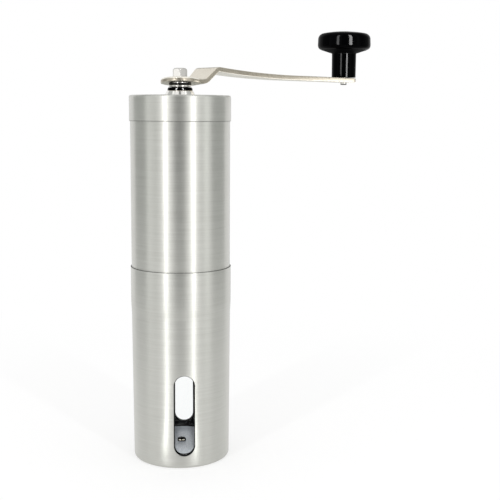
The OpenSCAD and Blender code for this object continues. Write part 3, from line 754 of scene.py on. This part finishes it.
class GRINDER_OT_tube(bpy.types.Operator):
    """Steel tube that holds the beans"""
    bl_idname = "grinder.tube"
    bl_label = "Hopper tube"

    def execute(self, context):
        wall, lip = 0.5, 2.0
        high = top("hopper_tube")
        in_r = TUBE_R - wall
        middle, shelf = (TUBE_R, (SEAT_Z + high) / 2), SEAT_Z + wall
        profile = rounded([middle, (TUBE_R, high), (in_r, high), (in_r, shelf),
                           (in_r - lip, shelf), (in_r - lip, SEAT_Z), (TUBE_R, SEAT_Z),
                           middle], 0.15)
        tube = turned("hopper_shell", profile, BODY_STEPS, angle=BODY_SMOOTH)
        settle(tube, "hopper", "brushed_steel", "hopper_tube")
        return {"FINISHED"}


class GRINDER_OT_lid(bpy.types.Operator):
    """Steel lid with its buffed cone, and the black bush in it"""
    bl_idname = "grinder.lid"
    bl_label = "Lid and bush"

    def execute(self, context):
        rim = context.scene.grinder.steel.rim_round / MM
        edge, hole = 1.0, 5.01
        cone_r, cone_top_r = 6.7, 6.0
        in_r, edge_r = BAND_R - SHEET, BAND_R - edge
        under, edge_z = BODY_H - SHEET, BODY_H - edge
        skirt = rounded([(in_r, edge_z), (in_r, LID_Z), (BAND_R, LID_Z), (BAND_R, edge_z)], rim)
        crown = rounded([(edge_r, BODY_H), (cone_r + 0.5, BODY_H),
                         (cone_top_r + 0.15, CONE_TOP - 0.3), (cone_top_r - 0.2, CONE_TOP),
                         (hole, CONE_TOP), (hole, CONE_TOP - SHEET),
                         (cone_top_r - SHEET, CONE_TOP - SHEET), (cone_r - SHEET, under),
                         (edge_r, under)], 0.3)
        profile = (skirt[:-1] + arc((edge_r, edge_z), edge, 0, 90, 8) + crown[1:-1]
                   + arc((edge_r, edge_z), edge - SHEET, 90, 0, 6))
        lid = turned("steel_lid", profile, BODY_STEPS, closed=True, angle=BODY_SMOOTH)
        settle(lid, "lid", "brushed_steel", "lid_cap")
        # Painted highlight: the cone takes a paler copy of the steel, with sharper reflections
        repaint(lid, "polished",
                lambda r, z, face: r < cone_r + 0.6 and z > BODY_H - 0.05)
        # Painted shade: the lid's lower rim is darkened as the shadow line of its seam
        repaint(lid, "rim_painted_shade", lambda r, z, face: z < LID_Z + rim)
        low, high = foot("lid_bush"), top("lid_bush")
        bore, neck, insert, collar = 4.06, 4.96, low + 1.6, 5.9
        middle = (bore, (low + high) / 2)
        bush = turned("bush_in_lid", rounded(
            [middle, (bore, low), (neck + 0.6, low), (neck + 1.2, insert), (neck, insert),
             (neck, CONE_TOP), (collar, CONE_TOP), (collar, CONE_TOP + 0.5),
             (collar - 0.3, high), (bore, high), middle], 0.22), 128)
        settle(bush, "lid", "black_gloss", "lid_bush")
        return {"FINISHED"}


def crank_line(steps=8):
    """Middle line of the crank plate: distance from the shaft and height of each station."""
    angle, slope, bend = math.radians(36), math.radians(5.2), 3.4
    foot_x, rise, tip = 8.7, 5.3, 2.9
    low = bend * (1 - math.cos(angle))
    first = foot_x + bend * math.sin(angle)
    second = first + (rise - 2 * low) / math.tan(angle)
    crest = second + bend * math.sin(angle)
    back = crest + bend * math.sin(slope)
    sweep = (rise - bend * (1 - math.cos(slope)) - tip) / (1 - math.cos(slope))
    flat = back + sweep * math.sin(slope)
    line = []
    for i in range(steps + 1):
        t = angle * i / steps
        line.append((foot_x + bend * math.sin(t), bend * (1 - math.cos(t))))
    for i in range(steps + 1):
        t = angle - (angle + slope) * i / steps
        line.append((crest - bend * math.sin(t), rise - bend * (1 - math.cos(t))))
    for i in range(1, 2 * steps + 1):
        t = slope * (1 - i / (2 * steps))
        line.append((flat - sweep * math.sin(t), tip + sweep * (1 - math.cos(t))))
    return line


def plate_half(x):
    """Half width of the crank plate at a distance from the shaft."""
    arm = (ARM_W + (TIP_W - ARM_W) * min(max(x, 0), CRANK_LEN) / CRANK_LEN) / 2
    if x > CRANK_LEN:
        return math.sqrt(max((TIP_W / 2) ** 2 - (x - CRANK_LEN) ** 2, 0))
    hub = math.sqrt(max(HUB_R ** 2 - x ** 2, 0))
    return max(hub, arm) if x > 0 else hub


class GRINDER_OT_crank(bpy.types.Operator):
    """Bent crank plate with rounded edges"""
    bl_idname = "grinder.crank"
    bl_label = "Crank plate"

    def share(self, x, height, crest):
        """Share of the hub's lean at a station: all of it on the hub, none past the crest."""
        if x < HUB_R:
            return 1.0
        return max(1 - height / crest, 0.0) if x < 2 * HUB_R else 0.0

    def leaned(self, part, lean, crest):
        """Stations lowered by the hub's lean and drop."""
        back = math.sin(CRANK_ANGLE) * lean
        return [(x, h - (x * back + HUB_DROP) * self.share(x, h, crest)) for x, h in part]

    def execute(self, context):
        mid = PLATE_Z + PLATE_T / 2
        line = crank_line()
        tip = line[-1][1]
        hub = [(-HUB_R * math.cos(math.radians(a)), 0.0)
               for a in (2, 8, 16, 24, 33, 43, 54, 66, 78, 90)]
        near = [(HUB_R * math.sin(math.radians(a)), 0.0) for a in (12, 24, 36, 48, 60)]
        far = [(CRANK_LEN + TIP_W / 2 * math.sin(math.radians(a)), tip)
               for a in (0, 14, 28, 40, 51, 61, 70, 78, 84, 88.5)]
        # The hub sits loose on the shaft and leans back; the riser takes this up
        lean, crest = math.tan(HUB_TILT), max(h for x, h in line)
        level, line = (self.leaned(part, lean, crest) for part in (hub + near, line))
        stations = level + line + far
        stations = [p for i, p in enumerate(stations)
                    if i == 0 or p[0] > stations[i - 1][0] + 0.01]
        plate = begin("crank_plate", "plane", size=2 * MM)
        pick(plate, "verts", lambda v: v.co.x > 0)
        bpy.ops.mesh.delete(type="VERT")
        bpy.ops.mesh.select_all(action="SELECT")
        x0, h0 = stations[0]
        bpy.ops.transform.resize(value=(1, plate_half(x0), 1))
        bpy.ops.transform.translate(value=((x0 + 1) * MM, 0, (mid + h0) * MM))
        across = math.atan(lean * math.cos(CRANK_ANGLE))
        bpy.ops.transform.rotate(value=across, orient_axis="X",
                                 center_override=(x0 * MM, 0, (mid + h0) * MM))
        for (xa, za), (xb, zb) in zip(stations, stations[1:]):
            bpy.ops.mesh.extrude_edges_move(
                TRANSFORM_OT_translate={"value": ((xb - xa) * MM, 0, (zb - za) * MM)})
            ratio = plate_half(xb) / plate_half(xa)
            middle = (xb * MM, 0, (mid + zb) * MM)
            bpy.ops.transform.resize(value=(1, ratio, ratio), center_override=middle)
            twist = across * (self.share(xb, zb, crest) - self.share(xa, za, crest))
            if abs(twist) > 1e-6:
                bpy.ops.transform.rotate(value=twist, orient_axis="X", center_override=middle)
        bpy.ops.mesh.select_all(action="SELECT")
        bpy.ops.mesh.normals_make_consistent(inside=False)
        # The round ends lose their cross lines, so that their rims can be rounded
        slack = 0.1
        pick(plate, "edges", lambda e: not e.is_boundary and (
            max(v.co.x for v in e.verts) < (ROLL_END - slack) * MM
            or min(v.co.x for v in e.verts) > (CRANK_LEN + slack) * MM))
        bpy.ops.mesh.dissolve_edges(use_verts=False)
        bpy.ops.mesh.select_all(action="SELECT")
        bpy.ops.transform.rotate(value=-CRANK_ANGLE, orient_axis="Z", center_override=(0, 0, 0))
        fresh()
        thick = plate.modifiers.new("Sheet", "SOLIDIFY")
        thick.thickness = PLATE_T * MM
        thick.offset = 0
        apply_all(plate)
        # All edges are broken, and the hub's upper one is rolled over further
        edit(plate)
        broken = context.scene.grinder.steel.plate_round / (HUB_ROLL * MM)
        ahead = Vector((math.cos(CRANK_ANGLE), math.sin(CRANK_ANGLE)))
        pick(plate, "edges", lambda e: e.calc_face_angle(0) > PLATE_TURN)
        bpy.ops.transform.edge_bevelweight(value=broken)
        pick(plate, "edges", lambda e: e.calc_face_angle(0) > PLATE_TURN
             and max(v.co.xy.dot(ahead) for v in e.verts) < (ROLL_END + slack) * MM
             and max(f.normal.z for f in e.link_faces) > 0.5)
        bpy.ops.transform.edge_bevelweight(value=1 - broken)
        fresh()
        bevel_weighted(plate, HUB_ROLL, 5)
        deep = mid - 5
        for radius, high, steps, x, y in ((SHAFT_HOLE_R, mid + 5, 64, 0, 0),
                                          (RIVET_HOLE_R, mid + 12, 32, KNOB_X, KNOB_Y)):
            hole = turned("hole", [(0, deep), (radius, deep), (radius, high), (0, high)], steps)
            shift(hole, x, y)
            cut_with(plate, hole)
        close_up(plate, 35)
        far_x = max(v.co.x for v in plate.data.vertices) / MM
        if abs(far_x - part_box("crank_arm")[1][0] / MM) > 0.3:
            raise RuntimeError("The crank plate doesn't lie where its CAD node does.")
        settle(plate, "crank", "satin_steel", "crank_arm")
        # Painted shade: the plate's upright edges take a darker, browner copy of the steel
        repaint(plate, "sheared", lambda r, z, face: abs(face.normal.z) < 0.4 and r > 5)
        # Painted light: the underside and the hub's upper faces take a paler copy of the plate
        repaint(plate, "plate_painted_light", lambda r, z, face: face.normal.z < -0.6
                or face.normal.z > 0.4 and r < 1.01 * HUB_R)
        return {"FINISHED"}


class GRINDER_OT_hub(bpy.types.Operator):
    """Rubber ring and knob pin of the crank"""
    bl_idname = "grinder.hub"
    bl_label = "Rubber ring and knob pin"

    def execute(self, context):
        # The ring is pressed a little flatter and wider than its node
        press = 0.25
        low, high = foot("hub_o_ring"), top("hub_o_ring") - press
        half = (high - low) / 2
        middle = (low + high) / 2
        round_r = reach("hub_o_ring") + press - half
        inside = rounded([(round_r, high), (SHAFT_HOLE_R, high), (SHAFT_HOLE_R, low),
                          (round_r, low)], 0.15)
        ring = turned("rubber_ring", arc((round_r, middle), half, -90, 90, 12) + inside[1:-1],
                      96, closed=True)
        settle(ring, "crank", "rubber", "hub_o_ring")
        shank, bearing, head = 1.8, 2.5, 3.1
        rivet_foot, pin_top = foot("knob_pin"), top("knob_pin")
        shoulder = KNOB_Z - 0.3
        pin = turned("knob_pin_riveted", rounded(
            [(0, rivet_foot + 1.1), (0.75, rivet_foot + 1.1), (0.8, rivet_foot + 0.05),
             (1.45, rivet_foot), (shank, rivet_foot + 0.45), (shank, shoulder),
             (bearing, shoulder), (bearing, pin_top - 2.0), (head, pin_top - 1.5),
             (head, pin_top - 1.0), (shank - 0.55, pin_top), (0, pin_top)], 0.2), 64)
        shift(pin, KNOB_X, KNOB_Y)
        settle(pin, "crank", "bright_steel", "knob_pin")
        # The peened end, under the crank plate, is dull and painted dark: painted shade
        repaint(pin, "rim_painted_shade", lambda r, z, face: z < rivet_foot + 1.0)
        return {"FINISHED"}


class GRINDER_OT_knob(bpy.types.Operator):
    """Turned mushroom knob"""
    bl_idname = "grinder.knob"
    bl_label = "Knob"

    def execute(self, context):
        z = KNOB_Z
        bore, bulb, bulb_z = 2.56, 3.4, z + 12.7
        stem_r, neck_r, under_r, head_r, crown_r = 6.58, 6.66, 12.3, 14.53, 3.15
        middle = (10.0, z + 14.18)
        stem = rounded([(bore, z), (stem_r, z), (neck_r, z + 13.1), middle], 0.35)
        rim = rounded([middle, (head_r, z + 15.65), (head_r - 0.2, z + 21.1)], 2 * crown_r)
        crown = arc((head_r - 0.2 - crown_r, z + 20.75), crown_r, 8, 78, 12)
        dome = [(r, z + up) for r, up in
                ((10.1, 24.13), (8.1, 24.44), (6.0, 24.66), (3.0, 24.84), (0, 24.9))]
        bulb_foot, bulb_top = bulb_z - 0.3, bulb_z + 2.3
        inside = [(0, bulb_top), (bulb, bulb_top), (bulb, bulb_foot), (bore, bulb_foot)]
        knob = turned("mushroom_knob", inside + stem[:-1] + rim[1:-1] + crown + dome, 128,
                      angle=30)
        settle(knob, "knob", "black_gloss", "knob")
        repaint(knob, "matt_black",
                lambda r, z, face: neck_r < r < under_r and face.normal.z < 0)
        shift(knob, KNOB_X, KNOB_Y)
        return {"FINISHED"}


class GRINDER_OT_spring(bpy.types.Operator):
    """Coil spring that gives as the inner burr is screwed up or down"""
    bl_idname = "grinder.spring"
    bl_label = "Burr spring"

    def execute(self, context):
        low, high = foot("burr_spring"), top("burr_spring")
        wire_r, end_turn, turns, per_turn = WIRE_D / 2, 0.6, 4, 24
        count = round((turns + 2 * end_turn) * per_turn)
        obj = begin("coil_spring", "circle", "EDGE", vertices=14, radius=wire_r * MM)
        bpy.ops.transform.rotate(value=math.pi / 2, orient_axis="X", center_override=(0, 0, 0))
        bpy.ops.transform.translate(value=(SPRING_R * MM, 0, (low + wire_r) * MM))
        bpy.ops.mesh.edge_face_add()
        bpy.ops.mesh.select_mode(type="FACE")
        # The ends lie flat, and the turns between them climb evenly
        climb = [min(max((i / per_turn - end_turn) / turns, 0), 1) for i in range(count + 1)]
        heights = [low + wire_r + (high - low - WIRE_D) * share for share in climb]
        for here, after in zip(heights, heights[1:]):
            bpy.ops.mesh.extrude_region_move(
                TRANSFORM_OT_translate={"value": (0, 0, (after - here) * MM)})
            bpy.ops.transform.rotate(value=-2 * math.pi / per_turn, orient_axis="Z",
                                     center_override=(0, 0, 0))
        close_up(obj, 60)
        paint(obj, finish_of("spring_steel"))
        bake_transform(obj)
        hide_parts("burr_spring")
        return {"FINISHED"}


class GRINDER_OT_softened(bpy.types.Operator):
    """Inner pieces copied from the CAD nodes, with their edges broken"""
    bl_idname = "grinder.softened"
    bl_label = "Inner pieces with soft edges"

    def execute(self, context):
        record = frame["record"]
        slots = {row["node"]: row["material_slot"] for row in record["subparts"]}
        riders = {node: body for body, nodes in record["behaviour"]["bodies"].items()
                  for node in nodes}
        for node, name, width, long_width in SOFT_EDGES:
            fresh()
            mesh = frame["nodes"][node].data.copy()
            mesh.name = name
            obj = bpy.data.objects.new(name, mesh)
            context.scene.collection.objects.link(obj)
            edit(obj)
            bpy.ops.mesh.select_all(action="SELECT")
            bpy.ops.mesh.remove_doubles(threshold=MERGE)
            bpy.ops.mesh.dissolve_limited(angle_limit=math.radians(1))
            if long_width:
                pick(obj, "edges", lambda e: e.calc_length() > 2.5 * MM
                     and e.calc_face_angle(0) > COPY_TURN
                     and min(v.co.z for v in e.verts) > CONE_TOP * MM)
                bpy.ops.mesh.bevel(offset=long_width * MM, segments=3, affect="EDGES")
            pick(obj, "edges", lambda e: e.is_convex and e.calc_face_angle(0) > COPY_TURN)
            bpy.ops.transform.edge_bevelweight(value=1)
            fresh()
            bevel_weighted(obj, width, 2)
            close_up(obj, 35)
            flat = obj.modifiers.new("Flat faces", "WEIGHTED_NORMAL")
            flat.keep_sharp = True
            apply_all(obj)
            settle(obj, riders[node], slots[node], node)
        return {"FINISHED"}


class GRINDER_OT_kept(bpy.types.Operator):
    """Finishes for the CAD nodes that stay as they are"""
    bl_idname = "grinder.kept"
    bl_label = "Finishes of the inner pieces"

    def execute(self, context):
        slots = {row["node"]: row["material_slot"] for row in frame["record"]["subparts"]}
        for name, obj in frame["nodes"].items():
            if not obj.hide_render:
                paint(obj, finish_of(slots[name]))
        return {"FINISHED"}


class GRINDER_OT_stage(bpy.types.Operator):
    """Floor, cards, strip lights, soft surround and camera"""
    bl_idname = "grinder.stage"
    bl_label = "Studio"

    def execute(self, context):
        s = context.scene.grinder.stage
        scene = context.scene
        scene.view_settings.view_transform = "Standard"
        floor = self.card("floor", FLOOR_SIDE, FLOOR_SIDE)
        paint(floor, self.floor_paper())
        for name, bearing, spread_deg, tone, tall in (
                ("front_flag", -2, 26, s.flag, FLAG_TALL),
                ("left_card", -104, 44, s.side, CARD_TALL),
                ("right_card", 98, 46, s.side, CARD_TALL),
                ("rear_flag", 178, 28, s.side, CARD_TALL),
                ("left_pale", -78, 9, 1.22, CARD_TALL), ("right_pale", 62, 9, 1.5, CARD_TALL),
                ("left_dusk", -57, 11, 0.8, CARD_TALL), ("right_dusk", 49, 7, 0.82, CARD_TALL)):
            wide = 2 * STAND_FAR * math.tan(math.radians(spread_deg / 2))
            card = self.card(name, wide, tall)
            self.stand(card, bearing)
            paint(card, self.card_tone(name, tone))
            self.only_mirrored(card)
        for name, bearing in (("left_strip", -34), ("right_strip", 29)):
            self.lamp(name, bearing, 0.03, 1.8, s.strip)
        # Lamps that only some pieces take: upright glints on the knob and the lid's bush, a
        # bright face on the shaft's end, a bright tip on the crank plate and light on the
        # inner cup's floor
        black, ring = ("mushroom_knob",), ("bush_in_lid",)
        within = ("inner_cup", "gate_nub")
        for takers, *lamp in (
                (black, "left_glint", -35, 0.16, GLINT_TALL, s.glint * 0.3),
                (black, "right_glint", 27, 0.18, GLINT_TALL, s.glint),
                (ring, "left_bush_glint", -36, 0.14, GLINT_TALL, 4 * s.glint),
                (ring, "right_bush_glint", 30, 0.14, GLINT_TALL, 4 * s.glint),
                (("shaft_with_five_sides",), "shaft_glint", -70, 0.3, 0.6, 0.55),
                (("crank_plate",), "crank_glint", 109, 0.09, 0.2, 3.4, 0.27),
                (within, "slot_glow", 0, 0.15, 0.15, 80.0, STAND_FAR, 0.56)):
            light = self.lamp(*lamp)
            group = bpy.data.collections.new(light.name + "_takers")
            for taker in takers:
                group.objects.link(bpy.data.objects[taker])
            light.light_linking.receiver_collection = group
            # The glints only mirror, so that the black pieces stay black
            light.visible_diffuse = takers is within
        # The strips as the table's shine repeats them, for the foot of the cup
        for name, bearing in (("left_streak", -31), ("right_streak", 26)):
            streak = self.card(name, 0.006, 0.46)
            self.lie(streak, bearing, 0.27)
            paint(streak, self.card_tone(name, s.strip * 0.3))
            self.only_mirrored(streak)
        self.surround(s.fill)
        self.camera(s.lens)
        return {"FINISHED"}

    def only_mirrored(self, card):
        """A card of the stage that shows in reflections alone."""
        card.visible_camera = card.visible_diffuse = card.visible_shadow = False
        card.visible_transmission = False

    def lie(self, obj, bearing, far):
        """Lays a card on the table, its length pointing away from the object."""
        turn = math.radians(bearing)
        sine, cosine, lift = math.sin(turn), math.cos(turn), 0.5 * MM
        obj.matrix_world = Matrix((
            (cosine, sine, 0, sine * far), (sine, -cosine, 0, -cosine * far),
            (0, 0, -1, lift), (0, 0, 0, 1)))

    def lamp(self, name, bearing, wide, tall, radiance, far=STAND_FAR, height=STAND_Z):
        """An upright lamp of a radiance, not seen by the camera itself."""
        light = bpy.data.lights.new(name, "AREA")
        light.shape = "RECTANGLE"
        light.size, light.size_y = wide, tall
        light.energy = radiance * math.pi * wide * tall
        obj = bpy.data.objects.new(name, light)
        bpy.context.scene.collection.objects.link(obj)
        obj.visible_camera = False
        self.stand(obj, bearing, far, height)
        return obj

    def card(self, name, wide, tall):
        """A flat card."""
        obj = begin(name, "plane", size=1)
        bpy.ops.transform.resize(value=(wide, tall, 1))
        fresh()
        return obj

    def stand(self, obj, bearing, far=STAND_FAR, height=STAND_Z):
        """Stands a card or lamp round the object, facing it; bearing 0 is the camera's side."""
        turn = math.radians(bearing)
        place = Vector((math.sin(turn) * far, -math.cos(turn) * far, height))
        face = Vector((place.x, place.y, 0)).normalized()
        side = Vector((0, 0, 1)).cross(face)
        obj.matrix_world = Matrix((
            (side.x, 0, face.x, place.x), (side.y, 0, face.y, place.y),
            (0, 1, face.z, place.z), (0, 0, 0, 1)))

    def card_tone(self, name, tone):
        """Card of one even tone, a trace cool."""
        material, tree, _ = start(name + " paper")
        cool = (tone * 0.985, tone * 1.01, tone * 0.99, 1)
        finish(tree, put(tree, "ShaderNodeEmission", values={"Color": cool, "Strength": 1.0}))
        return material

    def background_rays(self, tree):
        """One for camera, mirror and see-through rays, which see the white background."""
        path = put(tree, "ShaderNodeLightPath")
        rays = path.outputs["Is Camera Ray"]
        for kind in ("Is Glossy Ray", "Is Transmission Ray"):
            rays = put(tree, "ShaderNodeMath", {0: rays, 1: path.outputs[kind]},
                       operation="MAXIMUM").outputs[0]
        return rays

    def white(self, tree, strength, kind="ShaderNodeEmission"):
        """White light of a strength."""
        return put(tree, kind, {"Strength": strength.outputs[0]}, {"Color": (1, 1, 1, 1)})

    def floor_paper(self):
        """White paper: takes the object's shadow near it, and fades into the surround."""
        material, tree, coords = start("White paper")
        rays = self.background_rays(tree)
        far = put(tree, "ShaderNodeVectorMath", {0: coords}, operation="LENGTH")
        fade = put(tree, "ShaderNodeMapRange", {"Value": far.outputs["Value"]},
                   {"From Min": 0.1, "From Max": 0.36, "To Min": 0.0, "To Max": 1.0},
                   interpolation_type="SMOOTHSTEP")
        matt = put(tree, "ShaderNodeBsdfDiffuse", values={"Color": (0.5, 0.5, 0.5, 1)})
        lift = put(tree, "ShaderNodeMath", {0: rays}, {1: 0.56}, operation="MULTIPLY")
        glow = self.white(tree, lift)
        near = put(tree, "ShaderNodeAddShader", {0: matt.outputs[0], 1: glow.outputs[0]})
        level = put(tree, "ShaderNodeMapRange", {"Value": rays}, {"To Min": 0.8, "To Max": 1.0})
        away = self.white(tree, level)
        paper = put(tree, "ShaderNodeMixShader",
                    {0: fade.outputs[0], 1: near.outputs[0], 2: away.outputs[0]})
        # From below, the paper lets the object be seen
        under = put(tree, "ShaderNodeNewGeometry").outputs["Backfacing"]
        gone = put(tree, "ShaderNodeBsdfTransparent")
        finish(tree, put(tree, "ShaderNodeMixShader",
                         {0: under, 1: paper.outputs[0], 2: gone.outputs[0]}))
        return material

    def surround(self, fill):
        """White surround; a softer level lights the object."""
        world = bpy.data.worlds.new("Surround")
        bpy.context.scene.world = world
        world.use_nodes = True
        tree = world.node_tree
        tree.nodes.clear()
        level = put(tree, "ShaderNodeMapRange", {"Value": self.background_rays(tree)},
                    {"To Min": fill, "To Max": 1.0})
        back = self.white(tree, level, "ShaderNodeBackground")
        put(tree, "ShaderNodeOutputWorld", {"Surface": back.outputs[0]})

    def camera(self, lens):
        """Camera at the photograph's viewing angle."""
        yaw, pitch, roll = (math.radians(a) for a in (4.16, 8.18, 0.32))
        away, height = 0.45752, 0.16669
        ahead = Vector((math.sin(yaw) * math.cos(pitch), math.cos(yaw) * math.cos(pitch),
                        -math.sin(pitch)))
        right = Vector((math.cos(yaw), -math.sin(yaw), 0))
        up = right.cross(ahead)
        right, up = (right * math.cos(roll) + up * math.sin(roll),
                     up * math.cos(roll) - right * math.sin(roll))
        data = bpy.data.cameras.new("Camera")
        data.sensor_width = 36
        data.sensor_fit = "HORIZONTAL"
        data.lens = lens
        data.clip_start = 0.01
        obj = bpy.data.objects.new("Camera", data)
        bpy.context.scene.collection.objects.link(obj)
        obj.matrix_world = Matrix((
            (right.x, up.x, -ahead.x, 0), (right.y, up.y, -ahead.y, -away),
            (right.z, up.z, -ahead.z, height), (0, 0, 0, 1)))
        bpy.context.scene.camera = obj


PIECES = (GRINDER_OT_cup, GRINDER_OT_liner, GRINDER_OT_tube, GRINDER_OT_lid, GRINDER_OT_crank,
          GRINDER_OT_hub, GRINDER_OT_knob, GRINDER_OT_spring, GRINDER_OT_softened, GRINDER_OT_kept,
          GRINDER_OT_stage)


class GRINDER_PT_panel(bpy.types.Panel):
    """Settings and build buttons of the grinder."""
    bl_idname = "GRINDER_PT_panel"
    bl_label = "Hand Coffee Grinder"
    bl_space_type = "VIEW_3D"
    bl_region_type = "UI"
    bl_category = "Grinder"

    def draw(self, context):
        settings = context.scene.grinder
        for group in (settings.steel, settings.plastic, settings.stage):
            box = self.layout.box()
            for key in group.__annotations__:
                box.prop(group, key)
        for piece in PIECES:
            self.layout.operator(piece.bl_idname)


CLASSES = (GRINDER_PG_steel, GRINDER_PG_plastic, GRINDER_PG_stage, GRINDER_PG_settings,
           *PIECES, GRINDER_PT_panel)


def register():
    """Adds the classes and the settings to Blender."""
    for cls in CLASSES:
        bpy.utils.register_class(cls)
    bpy.types.Scene.grinder = PointerProperty(type=GRINDER_PG_settings)


def unregister():
    """Takes the settings and the classes out again."""
    del bpy.types.Scene.grinder
    for cls in reversed(CLASSES):
        bpy.utils.unregister_class(cls)


def main():
    """Builds all pieces in order."""
    register()
    for piece in PIECES:
        getattr(bpy.ops.grinder, piece.bl_idname.split(".")[1])()


if __name__ == "__main__":
    main()
